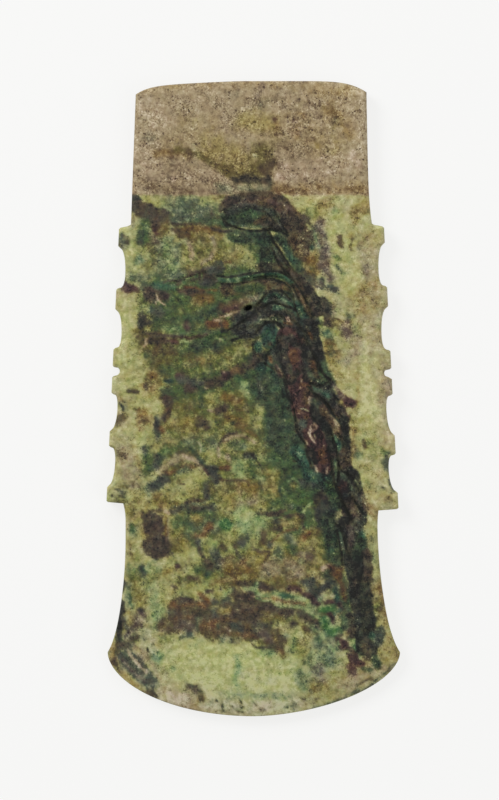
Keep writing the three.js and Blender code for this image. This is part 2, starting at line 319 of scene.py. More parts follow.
DEPTHS = row_depths()
face_x, face_d, face_u = face_grid(DEPTHS, FACE_RIM, between=4, inner=168)
back_x, back_d, back_u = face_grid(DEPTHS, BACK_RIM, between=1, inner=30)
print(face_x.shape, "rows and columns on the face,", back_x.shape, "on the back")

# %% [markdown]
# ## Thickness
# The blade is thinnest at the cutting edge, where a wide bevel was ground, and its faces swell a little
# towards the middle. The sides keep a narrow rounded arris. So the half thickness comes from two
# distances: how far a point is from the sides, and how far it is from the cutting edge. The butt was
# ground flat, a little thinner than the face.

# %% Half thickness
MIDDLE_PLANE = 3.2  # height of the plane half way between face and back
FACE_HALF, DOME, DOME_REACH = 2.7, 0.75, 26  # near the sides, how much it swells, and over what distance
RIM_HALF, RIM_BEVEL = 1.55, 1.5  # at the sides, and how wide the rounded arris is
EDGE_HALF, EDGE_BEVEL = 0.3, 17  # at the cutting edge, and how wide its bevel is
BUTT_HALF, BUTT_FLAT_DEPTH, BUTT_SWELL = 2.8, 33.5, 7  # on the butt, where it ends, and the rise below it
side_rims = [np.column_stack([sign * PROFILE[sign][1], PROFILE[sign][0]]) for sign in SIDES]
side_rims.append(np.column_stack(butt_end(np.linspace(0, 1, 40))))
edge_rim = np.column_stack(cutting_edge(np.linspace(0, 1, 80)))


def half_thickness(x, d):
    """The least of the bevel, the rounded arris and the flat butt, each from a distance to the outline."""
    from_sides = np.min([distance_to(rim, x, d) for rim in side_rims], axis=0)
    from_edge = distance_to(edge_rim, x, d)
    arris = np.sqrt(1 - (1 - np.clip(from_sides / RIM_BEVEL, 0, 1)) ** 2)
    bevel = np.sin(np.clip(from_edge / EDGE_BEVEL, 0, 1) * np.pi / 2) ** 0.9
    face = FACE_HALF + DOME * smooth(0, DOME_REACH, np.minimum(from_sides, from_edge))
    swell = smooth(BUTT_FLAT_DEPTH, BUTT_FLAT_DEPTH + BUTT_SWELL, d)
    flat = mix(BUTT_HALF, FACE_HALF + DOME, swell)
    least = np.minimum.reduce([mix(EDGE_HALF, face, bevel), mix(RIM_HALF, face, arris), flat])
    return least, from_sides, from_edge


face_half, from_sides, from_edge = half_thickness(face_x, face_d)
print("the face is", round(float(2 * face_half.max()), 2), "mm thick at most before the crust")

# %% [markdown]
# ## The stains
# Copper that lay beside the blade in the ground has dyed it. Where little came through, the jade stays a
# pale yellow green; where much did, it goes through moss and fern green to almost black. Iron has stained
# other places ochre, rust and brown. Three numbers are enough for all of it: `tone`, from pale (0) to
# black (1), `warmth`, from copper green (-1) to iron brown (+1), and `yellow`, from grey (-1) to glowing
# (+1). Each stain is laid like a brush stroke: a pigment, its width, how much of the stone it covers, and
# then the points of its line. These are pairs in millimetres: x across the blade, and depth from the butt
# end. Broad clouds come first and small marks last.
# Not all the thin lines are stains: in the crust and the creases, black and dark lines are partly painted
# shade, and pale lines on the crests of the folds are painted highlights.

# %% Pigments
# name: (tone, warmth, yellowness, how soft its edge is in millimetres)
PIGMENT = {
    "chalk": (0.02, 0.0, -0.4, 0.4),
    "bone": (0.06, 0.8, -0.7, 0.4),
    "jade": (0.11, -0.02, 0.6, 1.2),
    "celadon": (0.21, -0.65, 0.2, 1.0),
    "sand": (0.25, 0.55, -0.4, 1.2),
    "mustard": (0.3, 0.35, 0.7, 1.2),
    "moss": (0.36, -0.12, 0.65, 1.2),
    "sage": (0.42, -0.35, -0.4, 1.0),
    "ochre": (0.42, 0.7, 0.6, 1.0),
    # this teal is also painted highlight in the crust: thin lines of it on the crests of the folds
    "verdigris": (0.46, -0.9, -0.45, 0.8),
    "mauve": (0.49, 0.6, -0.9, 0.8),
    "olive": (0.52, 0.15, 0.55, 1.2),
    "fern": (0.56, -0.6, 0.3, 1.2),
    "rust": (0.52, 1.05, 0.4, 0.7),
    "emerald": (0.43, -1.2, 0.5, 0.8),
    "slate": (0.61, -0.1, -0.8, 0.7),
    "brown": (0.59, 0.5, 0.0, 0.8),
    "teal": (0.66, -0.85, -0.65, 0.8),
    "leaf": (0.71, -0.5, -0.2, 1.0),
    "umber": (0.7, 0.38, -0.35, 0.6),
    "maroon": (0.81, 1.0, -0.8, 0.6),
    # this dark is also painted shade in the crust, along its cracks and in the creases beside its folds
    "soot": (0.87, 0.0, -0.5, 0.5),
    "black": (1.0, 0.0, 0.0, 0.3),
}

# %% The butt, which the haft covered
BUTT_STAINS = [
    ("sand", 80, 1, 0, 14), ("ochre", 2.4, 0.35, -32, 3, -20, 1.4, 16, 1, 30, 2.6),
    ("brown", 3.2, 0.45, -21, 10.5), ("slate", 3.4, 0.45, -31.5, 17),
    ("mustard", 9, 0.3, -23, 18, -15, 14), ("bone", 7, 0.3, -31, 8, -27, 13),
    ("bone", 6, 0.35, -33, 22, -30, 27), ("ochre", 2.2, 0.6, -29, 22, -20, 22),
    ("mustard", 8, 0.65, -13, 20, -6, 23, -3, 27), ("olive", 3.6, 0.6, -8, 26, -4, 27.5),
    ("olive", 1.6, 0.75, -23, 21, -18, 21.6, -9.5, 26.8, -7, 28), ("brown", 2, 0.7, -19.6, 21.7),
    ("chalk", 2, 0.4, -18, 19.8), ("sand", 5, 0.5, -25, 26, -13, 28.5), ("bone", 1.2, 0.9, -23.6, 29.3),
    ("brown", 2.4, 0.45, -30, 32, -20, 33), ("mauve", 1.2, 0.6, 3, 1.5, 1.4, 4.6),
    ("brown", 1.6, 0.45, -2, 6, 6, 5.4), ("slate", 2.6, 0.35, -6, 4.5), ("slate", 2.8, 0.4, 3.5, 7.8),
    ("ochre", 3.4, 0.4, 17, 3, 28, 4.2), ("brown", 0.8, 0.6, 14.5, 6.4, 18, 6.6, 20.5, 7.6),
    ("brown", 1.8, 0.6, 21, 7.6), ("mustard", 5.4, 0.75, -3, 12, 5, 12.6), ("maroon", 0.9, 0.7, 6.6, 12),
    ("ochre", 9, 0.35, 8, 16, 14, 14, 18, 18), ("olive", 4, 0.3, 7, 18, 9, 18),
    ("bone", 0.35, 0.5, 8, 13.6, 14, 12), ("bone", 0.35, 0.5, 10, 14.8, 18, 13),
    ("bone", 0.35, 0.5, 8, 16.6, 14, 15.2), ("bone", 0.35, 0.45, 9, 17.4, 13, 16.6),
    ("ochre", 4.2, 0.6, 22, 9, 26, 11, 28, 16), ("slate", 2.4, 0.4, 24.6, 11.5),
    ("brown", 1.8, 0.5, 27.4, 16.4), ("brown", 1.6, 0.4, 31, 8.4, 31.4, 10), ("mustard", 3, 0.5, 24, 14),
    ("mustard", 8, 0.4, 21, 19.5, 25, 21), ("bone", 6, 0.4, 8, 27, 18, 26.6, 30, 24),
    ("bone", 1.5, 0.6, 10.5, 25.6), ("bone", 2.4, 0.5, 30, 23), ("ochre", 3.2, 0.55, 6, 32.6, 33, 32.2),
    ("brown", 2.2, 0.35, 8, 33, 14, 33), ("olive", 6, 0.8, 2, 21.5, 3.4, 25, 1, 28),
    ("umber", 2.2, 0.7, 5, 24.6, 3, 27), ("soot", 1.9, 0.85, -5.6, 29.3, 4.4, 29.8),
    ("chalk", 1.3, 0.4, 0.6, 22.6), ("sage", 2.6, 0.6, -10, 31.8, -3, 32.4, 4, 32.4),
    ("chalk", 0.7, 0.8, -8.6, 31.8, -7, 32.3), ("chalk", 0.6, 0.7, -4.6, 32.2),
]
print(len(BUTT_STAINS), "marks on the butt")

# %% The face: broad clouds first
CLOUDS = [
    ("moss", 26, 0.75, -18, 62, -12, 140), ("moss", 22, 0.8, 2, 92, 6, 140),
    ("olive", 12, 0.45, -24, 84, -20, 100, -22, 112), ("fern", 15, 0.75, -26, 66, -14, 62, -4, 62),
    ("fern", 12, 0.6, -20, 74, -8, 76), ("leaf", 15, 0.85, 4, 88, 15, 118),
    ("fern", 15, 0.7, 8, 118, 18, 134), ("fern", 7, 0.6, -17, 80, -24, 88, -14, 90, -2, 88),
    ("sage", 9, 0.6, -26, 39.5, -12, 39.5), ("sage", 9, 0.7, -26.5, 51, -25, 56),
    ("sand", 9, 0.5, 39, 50, 38, 64, 41, 106), ("sand", 6, 0.4, 33, 50, 33, 66, 29, 84),
    ("sand", 5, 0.4, -40, 66, -40, 92, -38, 118), ("mustard", 7, 0.5, -29, 90, -31, 100, -29, 107),
    ("mustard", 9, 0.6, -33, 128, -26, 127, -22, 138), ("ochre", 14, 0.5, 4, 146, 14, 146, 20, 142),
    ("brown", 10, 0.55, -22, 161, 2, 160), ("brown", 5, 0.5, 2, 158, 18, 163),
    ("moss", 8, 0.5, -31, 150, -24, 152, -12, 151), ("sage", 10, 0.6, 20, 160, 22, 168, 18, 176),
    ("olive", 8, 0.75, -31.6, 77, -28, 82), ("jade", 16, 1, -20, 174.6, 7, 176),
    ("sand", 9, 0.6, -26, 184, -16, 187), ("chalk", 5, 0.5, -14, 187.5, 0, 188.4, 12, 187),
    ("mustard", 9, 0.6, 20, 182, 30, 181, 40, 172), ("jade", 8, 0.6, 33, 88, 32, 118),
]

# %% The upper face, down to the notch half way along the teeth
UPPER_STAINS = [
    ("moss", 3, 0.5, -35.4, 32.4, -30, 35, -27, 37.6), ("jade", 2.6, 0.7, -32, 34.6, -29.4, 37.4),
    ("soot", 2.8, 0.97, -35.6, 34.6, -35, 36), ("umber", 4.4, 0.95, -34.6, 38.2, -27.6, 40.8),
    ("umber", 2.8, 0.9, -29, 42, -28.8, 44), ("brown", 1.6, 0.8, -26.2, 40.8, -26, 42),
    ("slate", 2, 0.6, -32.4, 41, -30.6, 41.6), ("maroon", 1.2, 0.7, -29.2, 44.2, -28.6, 45.8),
    ("sand", 2, 0.6, -36, 42.8, -34.4, 41.6), ("slate", 2.4, 0.8, -39.6, 46.5, -39.4, 49.6),
    ("umber", 0.9, 0.9, -38.4, 46.8, -37.9, 48.6), ("fern", 4.2, 0.9, -33, 43.6, -32.8, 48),
    ("slate", 1.8, 0.6, -33.6, 45, -33.4, 48.4), ("umber", 1.8, 0.7, -31.4, 49.2, -29.4, 48.4),
    ("sand", 1.6, 0.6, -30.4, 46.6, -29.6, 47.6), ("mustard", 2.8, 0.9, -26.8, 44, -26.4, 46),
    ("sage", 6, 0.7, -21, 38, -14, 39.4, -11, 38.4), ("sage", 3.4, 0.7, -23, 41, -13, 41.4),
    ("jade", 2.6, 0.8, -15, 36, -8.4, 35.8), ("olive", 1.2, 0.9, -11.6, 35.2, -9.4, 34.5, -8, 34.3),
    ("brown", 1.8, 0.6, -12.6, 39.6, -11, 40.6), ("fern", 2.6, 0.7, -13.4, 43, -9, 43.2),
    ("brown", 3, 0.85, -23.4, 45, -20.6, 45.6), ("ochre", 3, 0.9, -20, 44.6, -15, 44.6, -10.6, 45.4),
    ("mustard", 2.6, 0.8, -18, 46.8, -11, 47), ("umber", 0.6, 0.9, -24.4, 42.9, -20, 43.2, -16, 42.7),
    ("umber", 0.7, 0.9, -12.4, 44.3, -11, 44.8, -8.6, 45.4, -7.4, 45),
    ("celadon", 5, 0.6, -25, 49, -24, 55), ("sage", 2, 0.6, -23, 50, -23, 55),
    ("fern", 1, 0.7, -27.2, 53), ("bone", 1.6, 0.7, -19, 48.6, -18.2, 53.4),
    ("olive", 3.6, 0.5, -16, 48.6, -15, 52), ("mustard", 4.6, 0.7, -18.6, 56, -12, 53.6, -5, 52.6),
    ("sand", 1.1, 0.85, -12.4, 47.4, -11.4, 50, -13, 53, -15.6, 54.8),
    ("olive", 2.6, 0.7, -31.4, 50, -30, 53), ("moss", 2.4, 0.7, -31.6, 55, -30.4, 56.6),
    ("jade", 4.6, 0.6, -3, 53.6, 0, 50), ("moss", 3.4, 0.6, -9, 50.4, -5, 48.8),
    ("rust", 1.2, 0.6, -8.8, 54.6, -7, 54.4), ("verdigris", 2.2, 0.75, -34.2, 53.4),
    ("chalk", 0.6, 0.7, -34.2, 53.9), ("sage", 3.2, 0.75, -36, 58.6, -31.4, 59),
    ("sage", 3, 0.6, -33.4, 61, -31.6, 61.4), ("maroon", 2, 0.97, -39, 61, -37, 61.8, -35.8, 61.9),
    ("maroon", 1.4, 0.9, -38.6, 62.6, -37.4, 63),
    # the creases that run in from the left
    # the thin umber lines along the creases are painted shade of the folds
    ("slate", 3.6, 0.85, -12.8, 56.6, -10.4, 56), ("umber", 2.4, 0.75, -19, 58.4, -15, 58.4, -12, 59.4),
    ("umber", 0.7, 0.9, -27, 60.3, -22, 60, -20, 58.6, -16, 57.4, -13, 55.6),
    ("verdigris", 2.6, 0.9, -29.4, 61, -24, 62.2), ("umber", 1.8, 0.8, -22.8, 60.8),
    ("celadon", 0.5, 0.85, -23, 62.2, -20.8, 61, -20, 59.6, -16.6, 58.2),
    ("celadon", 0.7, 0.8, -17.2, 58.8, -16.6, 58), ("celadon", 0.6, 0.7, -15.2, 57.6, -15, 58.8),
    ("chalk", 0.6, 0.8, -19.5, 61.1), ("umber", 2, 0.8, -22, 63.2, -15, 63.4),
    ("rust", 0.8, 0.8, -20.6, 62, -17, 62, -15.4, 62.6, -11, 62.6),
    ("slate", 2.4, 0.8, -14.6, 60.6, -13, 61), ("ochre", 3.4, 0.85, -16.4, 65.4, -13.4, 65),
    ("fern", 5.4, 0.8, -25, 65.4, -22, 68), ("moss", 3, 0.6, -21.4, 68.6, -18, 68),
    ("umber", 3, 0.9, -31, 63.4, -27, 64.6), ("umber", 2, 0.75, -31.6, 62.2, -30.8, 65.6),
    ("maroon", 1.4, 0.7, -26.2, 64.8),
    ("bone", 0.5, 0.95, -29.4, 63.8, -28.6, 65.4, -27.6, 66.6, -26.6, 67.3),
    ("bone", 0.4, 0.9, -28.6, 65.2, -29.6, 66.8), ("slate", 2.6, 0.7, -30.4, 68.6, -28, 68.8),
    ("soot", 2.2, 0.95, -33.2, 70.8, -33.6, 73, -31.8, 72.6), ("leaf", 1.2, 0.8, -30, 71.8, -15.6, 71.2),
    ("fern", 3.6, 0.6, -29, 73.6, -18, 70), ("celadon", 2.6, 0.5, -25.6, 73.8, -22, 74.2),
    ("maroon", 1.6, 0.9, -20.2, 72.8, -20, 73.6), ("leaf", 2.6, 0.85, -12.6, 69.2, -11, 68),
    ("rust", 3, 0.95, -12.4, 73, -9, 73), ("umber", 0.9, 0.8, -9.9, 72.4, -9.6, 74),
    ("brown", 3.2, 0.9, -9, 68, -4.4, 67), ("maroon", 1.2, 0.7, -8.6, 68.8, -5, 68),
    ("bone", 1, 0.95, -11.6, 71.5, -9.8, 71.6),
    ("bone", 0.6, 0.95, -10, 70.4, -7.2, 70.2, -5.4, 69.3, -3.6, 69.2), ("bone", 0.5, 0.8, -5, 67.8),
    ("sand", 2, 0.85, -2.4, 66, 0.4, 65.2), ("umber", 2.2, 0.8, -5.6, 70.8, -2.4, 69.8),
    ("fern", 3, 0.8, -15, 76.4, -10.6, 75.6), ("umber", 2.2, 0.8, -30.4, 77.4, -23.6, 78),
    ("umber", 0.9, 0.95, -31.6, 75.8, -19, 76.8, -17, 76.3, -14, 75.8),
    ("maroon", 1.2, 0.8, -24.4, 77.7, -22.8, 78.2),
    ("celadon", 0.6, 0.95, -21.8, 78.6, -20.8, 77, -20.3, 78, -18.8, 77.6),
    ("celadon", 1, 0.8, -11, 77, -9.2, 77.6), ("chalk", 0.5, 0.8, -10.4, 78.8, -9.8, 77.2),
    ("brown", 2, 0.7, -34.8, 77.4, -33.6, 78), ("bone", 0.5, 0.85, -31.9, 77.4, -32.2, 79, -33, 79.8),
    ("leaf", 2.6, 0.85, -17.6, 79.4, -11, 80), ("brown", 2.4, 0.5, -29, 80.6, -24, 81),
    ("fern", 2, 0.6, -32.4, 82), ("moss", 5, 0.6, -5, 80, -3.6, 84),
    ("jade", 2.6, 0.8, -4, 79.2, -4.4, 82.4), ("mustard", 2.6, 0.6, -9, 81.4, -7, 84.6),
    ("ochre", 3, 0.5, -20, 84, -14, 83),
    # the right of the upper face
    ("umber", 4.4, 0.9, -7, 36.6, 0, 35.8, 6, 38, 10.4, 41.4, 15, 41.4),
    ("jade", 5, 0.85, 14, 36.8, 19, 38.4), ("moss", 2.2, 0.8, 15.6, 38.6, 18, 40.6),
    ("ochre", 2.6, 0.6, 20, 38.2, 22.6, 37), ("fern", 2.2, 0.85, 24.6, 39.6),
    ("ochre", 4, 0.75, 31, 39, 33.6, 37.6), ("mustard", 3.4, 0.7, 30, 42),
    ("jade", 9, 0.8, 25.6, 44, 28.6, 60), ("brown", 1.2, 0.75, 25.8, 46.4, 26.2, 49.4),
    ("ochre", 2.2, 0.5, 29.6, 46.6), ("umber", 4.6, 0.8, 11, 44, 14, 48.4, 15, 52),
    ("sage", 4.8, 0.9, 17.4, 46.6, 18.2, 50.6), ("celadon", 1.4, 0.8, 18.6, 48.2, 19.4, 50),
    ("ochre", 5.6, 0.95, 17.6, 53.4, 17.6, 57), ("olive", 2.2, 0.6, 18, 56.6),
    ("mauve", 2.8, 0.85, 19.8, 43, 21.6, 50, 20.8, 55, 23, 59), ("slate", 4, 0.6, 15.4, 59.6, 19.6, 60.6),
    ("mauve", 1.6, 0.6, 20, 60.4, 18, 61.8), ("slate", 2.6, 0.6, 25.4, 56),
    ("sage", 2.2, 0.6, 26.6, 58.2), ("slate", 3.2, 0.85, 23.6, 62.4),
    ("mustard", 4, 0.6, 35.4, 45.4, 37, 47.6), ("ochre", 3.6, 0.6, 33, 62.4, 36.6, 61),
    ("brown", 1.4, 0.6, 32.6, 63.6), ("ochre", 4.6, 0.5, 31, 67, 36, 66.6),
    ("sage", 2.4, 0.6, 28.6, 70.4), ("moss", 3.6, 0.6, 30.6, 73.4, 30.6, 76),
    ("mauve", 2.8, 0.75, 26.4, 74, 27.6, 75.4), ("umber", 3.4, 0.9, 21, 68.6, 23, 72.4),
    ("soot", 3, 0.7, 20.6, 66, 23.4, 69), ("sand", 1.2, 0.8, 24, 67.4, 24.2, 70),
    ("mustard", 2.4, 0.7, 24.4, 72.4, 24.6, 74.6), ("verdigris", 2.6, 0.8, 21.6, 75.8, 22.6, 77),
    ("ochre", 5, 0.85, 22.4, 79.6, 23.6, 82), ("slate", 2.6, 0.9, 23.2, 81.2),
    ("mustard", 4, 0.7, 23.4, 85, 25, 87), ("mauve", 3, 0.4, 28.4, 83.6),
]

# %% The middle of the face
MIDDLE_STAINS = [
    # small marks of the pale margins
    ("brown", 0.7, 0.8, 30, 40.6, 31.4, 41), ("ochre", 1.4, 0.7, 29.8, 41.6, 30.6, 43),
    ("brown", 0.8, 0.85, 26.2, 46.8, 25.8, 48.4, 26.4, 49.8),
    ("brown", 0.8, 0.8, 29.8, 47.6, 29.2, 49.2, 29.6, 50.6), ("olive", 0.6, 0.8, 33.2, 47.4, 33.8, 48),
    ("fern", 1.3, 0.75, 25, 52.8, 25.4, 53.4), ("slate", 1.9, 0.8, 23.6, 62.4, 24.6, 63),
    ("mauve", 2.4, 0.35, 32, 50, 34.4, 58), ("brown", 1, 0.6, 35, 63.6, 35.6, 66.4),
    ("brown", 0.5, 0.8, 22.6, 71.2, 25, 71.4, 27, 72.6), ("mauve", 2, 0.5, 28, 72.4, 28.4, 76),
    ("olive", 2.8, 0.85, 22.6, 80.4), ("sand", 2.6, 0.5, 31, 77, 31, 84),
    ("ochre", 1, 0.6, 31, 88, 31.4, 93, 30.6, 99), ("moss", 2.4, 0.6, 35.2, 108, 35.6, 113),
    ("moss", 1.6, 0.6, 34, 119.6, 34.6, 121), ("soot", 0.5, 0.8, 38.6, 121.6, 39, 122.4),
    ("soot", 0.5, 0.8, 40.6, 123.6, 41.2, 123.4), ("umber", 0.6, 0.8, 38, 124.6, 37.4, 125.6),
    ("umber", 1.4, 0.8, -36.8, 92.4, -36.2, 94.6), ("soot", 0.4, 0.8, -39.6, 97, -39, 98.6),
    ("soot", 0.4, 0.8, -39.8, 99.8, -38.6, 99.6), ("soot", 0.5, 0.8, -41.4, 121.6, -40.8, 122.2),
    ("olive", 1, 0.7, -38.8, 121.4, -37.6, 121.8), ("jade", 6, 0.8, -38, 68, -38, 92),
    ("jade", 5, 0.7, -34.6, 86, -34, 96), ("jade", 6, 0.7, -36, 104, -33, 107),
    ("rust", 3, 0.5, -32.6, 91, -30.4, 91.4), ("umber", 1, 0.95, -32.3, 91, -32, 92),
    ("umber", 1, 0.7, -37.2, 92.6, -35, 93.2), ("olive", 0.8, 0.8, -36.4, 98, -34, 98.6),
    ("ochre", 3.6, 0.8, -33.4, 99.6, -32.6, 102), ("brown", 1.6, 0.6, -33.4, 101.6, -32, 102.6),
    ("brown", 2.4, 0.85, -40.6, 102.4, -39.4, 100.8), ("ochre", 1.2, 0.5, -39.8, 95.6),
    ("ochre", 2, 0.8, -30.6, 88.6, -29, 88.4), ("fern", 2.4, 0.8, -27.4, 86, -26.4, 86.8),
    ("jade", 3.6, 0.9, -31, 96, -28.4, 98.4), ("teal", 1.4, 0.9, -26.2, 90.2, -24.8, 90.2),
    ("leaf", 2.6, 0.85, -26.8, 93.6, -25, 93.6), ("celadon", 0.4, 0.8, -27.8, 92.2, -26, 91.2, -24, 92),
    ("umber", 0.8, 0.7, -28, 95, -22.4, 94.6), ("maroon", 1.6, 0.8, -22.6, 88.4, -21.4, 89),
    ("fern", 5, 0.7, -22, 92.8, -16, 93), ("slate", 2.2, 0.85, -22, 89.8, -18, 90.4, -14.6, 90.2),
    ("umber", 2, 0.9, -13.6, 90.2, -10, 89.4, -5.6, 86.6, -2, 85.8, 1, 84.4),
    ("umber", 1.6, 0.7, -12.6, 91.2, -9.6, 90.6), ("ochre", 1.4, 0.6, -6.6, 86.6, -5, 86.4),
    ("maroon", 1.3, 0.8, -8.8, 88.2, -7.6, 88), ("bone", 0.8, 0.95, -8.8, 87.4),
    ("umber", 2.2, 0.85, -19.8, 92, -18, 92.6), ("bone", 0.7, 0.8, -14.6, 91.9, -13.8, 91.9),
    ("leaf", 3.4, 0.5, -16, 94, -15.4, 97), ("jade", 3.6, 0.9, -12.8, 94.6, -12.4, 96.6),
    ("ochre", 3, 0.75, -8.4, 95, -4, 95.8), ("celadon", 3, 0.7, -2.8, 91.6, -1.8, 93.6),
    ("leaf", 2.2, 0.95, 1.4, 89, 2, 93), ("olive", 2.8, 0.85, -19.4, 97.4, -17.6, 98.8),
    ("umber", 1.9, 0.85, -11, 98.8, -8.6, 98.4), ("bone", 0.7, 0.85, -13.4, 98.8, -12.3, 99.2),
    ("umber", 2.2, 0.95, -26.2, 95.8, -25.2, 99.6, -26.4, 101.2),
    ("slate", 1.8, 0.97, -28.8, 101.2, -28.8, 104, -28.4, 106.6),
    ("soot", 0.9, 0.8, -29.2, 101.4, -28.6, 106), ("umber", 1.6, 0.9, -27.4, 101.4),
    ("rust", 1.4, 0.85, -27.4, 104.2, -27, 105), ("mustard", 4.4, 0.75, -24, 103, -19, 103.4),
    ("umber", 2.6, 0.7, -16, 102.4, -14.4, 103), ("rust", 1.6, 0.45, -4.6, 98.4, -2.6, 98.6),
    ("ochre", 3.6, 0.7, -7.6, 101, -3, 102.6), ("leaf", 0.8, 0.8, -11, 102),
    ("leaf", 1, 0.7, -6.4, 102.4), ("moss", 3.4, 0.7, 1.2, 99.6, 0.8, 103),
    ("jade", 2.4, 0.6, 1.8, 97.6, 2, 103), ("sage", 5, 0.6, -19, 108.6, -13, 108.6),
    ("celadon", 1.8, 0.75, -16.6, 107.6, -15.4, 110.4),
    ("chalk", 0.5, 0.8, -16.6, 108, -15.6, 109.4, -15.8, 111), ("sage", 2.8, 0.7, -6, 109, -3, 109),
    ("celadon", 0.5, 0.85, -5.4, 110.2, -3.2, 107.8),
    ("sand", 1.3, 0.95, -8.8, 107.8, -7.2, 106.6, -5, 105.9, -3, 106.1, -1, 107.2, 0, 108.6),
    ("umber", 0.6, 0.9, -10, 108.4, -9, 106.9, -7.4, 105.7, -5, 105),
    ("rust", 1.2, 0.6, -3.4, 104.6, -1, 105, 0.4, 106.2), ("fern", 4.4, 0.85, -31.4, 112.6, -31, 115.6),
    ("slate", 1.4, 0.7, -33, 110.4, -32.4, 111.4), ("slate", 3, 0.85, -28.6, 113, -28.8, 116),
    ("fern", 3, 0.7, -26.6, 111, -22, 109.8), ("leaf", 1.6, 0.7, -28, 114.6, -26.8, 113),
    ("sand", 2.2, 0.85, -27.8, 117, -25.4, 114.6, -22, 112.6, -18.4, 113, -15.4, 115.6),
    ("bone", 1, 0.6, -20.8, 112.2, -18.2, 113.6),
    ("rust", 1.2, 0.7, -26, 117.8, -20, 115.2, -17.4, 115.8), ("sage", 2, 0.7, -22, 116.8, -20, 116.2),
    ("leaf", 1.1, 0.85, -18.6, 110.2, -16.4, 113, -13.2, 116.4),
    ("slate", 3, 0.9, -13, 116, -11.6, 116.6, -11.2, 119.2),
    ("black", 0.4, 0.8, -12, 116.2, -9, 116.4, -7.2, 116.6),
    ("maroon", 0.8, 0.8, -14.6, 116.4, -13.6, 117.8), ("rust", 1, 0.85, -9.4, 116, -6.8, 115.9),
    ("jade", 2.6, 0.7, -12.8, 111, -12, 113), ("bone", 1, 0.6, -10.4, 110.2, -10.2, 112.8),
    ("bone", 1.4, 0.5, -7.6, 112.4, -7, 113.8), ("slate", 1.6, 0.75, -2, 112.4, 0, 112.4),
    ("black", 0.45, 0.85, -2.6, 111.8, -1, 111.5, 0.6, 113.2, 2, 115, 3, 117),
    ("celadon", 3.2, 0.95, -4.2, 115.4, -3.4, 118), ("fern", 2, 0.8, -0.8, 114.6, -0.6, 117.4),
    ("slate", 2.8, 0.85, -30.4, 122, -26.6, 119.6), ("sage", 2, 0.7, -32, 122.4, -31.2, 124),
    ("jade", 5, 0.85, -23.4, 124, -20, 122, -17.4, 118.6), ("umber", 0.4, 0.7, -22.8, 121, -20.8, 121),
    ("ochre", 3.2, 0.7, -28.6, 125, -26.4, 126), ("mustard", 3, 0.7, -26, 124, -24.6, 126),
    ("slate", 2.6, 0.85, -14.4, 121, -13.8, 124), ("olive", 1.8, 0.8, -12.4, 121.4, -12.4, 123),
    ("umber", 1.4, 0.8, -20, 126.6, -17, 125.6, -14.6, 125.4), ("sage", 0.9, 0.8, -18.4, 127, -14.6, 126),
    ("slate", 2.2, 0.75, -24.4, 129.2, -21, 128, -17, 128.4, -12.6, 127.6),
    ("umber", 1, 0.7, -18.2, 127.8, -16, 128),
    ("black", 0.6, 0.8, -15.4, 128.4, -14.4, 127.8, -13, 127.4), ("ochre", 4.4, 0.6, -4, 121.4, 0, 122),
    ("mustard", 4.4, 0.7, -9, 123.6, -6, 126), ("sand", 3, 0.7, -3, 126.4, 0, 126),
    ("brown", 0.8, 0.85, -9.8, 119.4, -7, 119.8, -4.6, 119.5, -1.6, 119.9),
    ("olive", 1.6, 0.8, -7.4, 120.6, -6.6, 122.4),
    # below the crust
    ("mustard", 3.6, 0.8, 3.6, 117.4, 6, 118), ("celadon", 1.6, 0.7, 1.6, 118.6, 3, 119),
    ("slate", 1.3, 0.75, 2.4, 120, 3, 122.4), ("mustard", 4.2, 0.9, 4.6, 121.4, 6.6, 122.4),
    ("fern", 2, 0.9, 8.6, 120.9, 9.4, 121), ("celadon", 1.4, 0.9, 8.9, 122.7),
    ("leaf", 0.6, 0.85, 8, 121.8, 8.3, 123.6, 9.6, 124.4), ("mustard", 2.2, 0.8, 12, 121.4),
    ("celadon", 0.8, 0.8, 10.4, 120, 12, 119.2, 13.4, 120.4, 13, 122.8, 11.4, 124),
    ("slate", 3.4, 0.7, 15.6, 120.6, 20, 121.4), ("fern", 4, 0.8, 12.6, 124.4, 17, 124.6),
    ("slate", 1.3, 0.8, 11, 127.2), ("leaf", 1.2, 0.8, 13.4, 128),
    ("celadon", 0.6, 0.9, 14.8, 128.8, 15.6, 127.4, 19, 125.8), ("black", 0.6, 0.6, 2.4, 124.6),
    ("black", 0.7, 0.7, 2.2, 128.4), ("umber", 0.8, 0.9, 1.2, 129.8, 7, 129.4, 9.6, 128.4),
    ("umber", 0.9, 0.9, 4.6, 130.3, 8, 130.6, 11, 130, 14.4, 129.6),
    ("umber", 0.6, 0.9, 14.4, 129.6, 14.6, 131.4, 15.2, 133.6),
    ("umber", 5, 0.75, 20.4, 125.4, 21.4, 128), ("slate", 6, 0.85, 21.8, 129, 22.2, 134),
    ("sand", 5, 0.5, -38, 112, -37, 120), ("umber", 1.4, 0.75, -40.2, 111.6, -38.6, 112),
    ("rust", 1.2, 0.4, -35, 112.4, -34, 116), ("slate", 2.6, 0.75, -39.6, 123.4),
    ("umber", 1, 0.8, -42, 124.4), ("umber", 0.9, 0.75, -40.6, 120.8), ("olive", 2.6, 0.6, -40, 125.4),
    # right margin
    ("maroon", 2.2, 0.9, 26, 94.6, 29.6, 96.6), ("maroon", 3, 0.8, 26, 97.6, 27.6, 100),
    ("mustard", 5, 0.6, 26.6, 89.4, 30, 88), ("mustard", 3, 0.75, 31, 97.4, 30.4, 104),
    ("jade", 5.6, 0.8, 34.4, 99, 34, 104), ("ochre", 2.6, 0.6, 29.8, 105, 29.6, 112),
    ("sage", 2.8, 0.8, 31.6, 112), ("brown", 0.8, 0.7, 33, 107.4, 33.4, 110),
    ("sand", 4, 0.6, 39.6, 88, 40.6, 96), ("slate", 2, 0.75, 39.4, 112, 40, 116),
    ("fern", 1.6, 0.6, 37, 110.2, 39, 111.2), ("olive", 3.2, 0.6, 35.6, 121.6),
    ("slate", 1, 0.9, 40.4, 119.4, 41.8, 123), ("brown", 1.2, 0.5, 40, 124.4, 41, 126),
    ("mustard", 3, 0.5, 32.4, 116), ("rust", 3, 0.45, 33.4, 126, 36, 129.6),
]

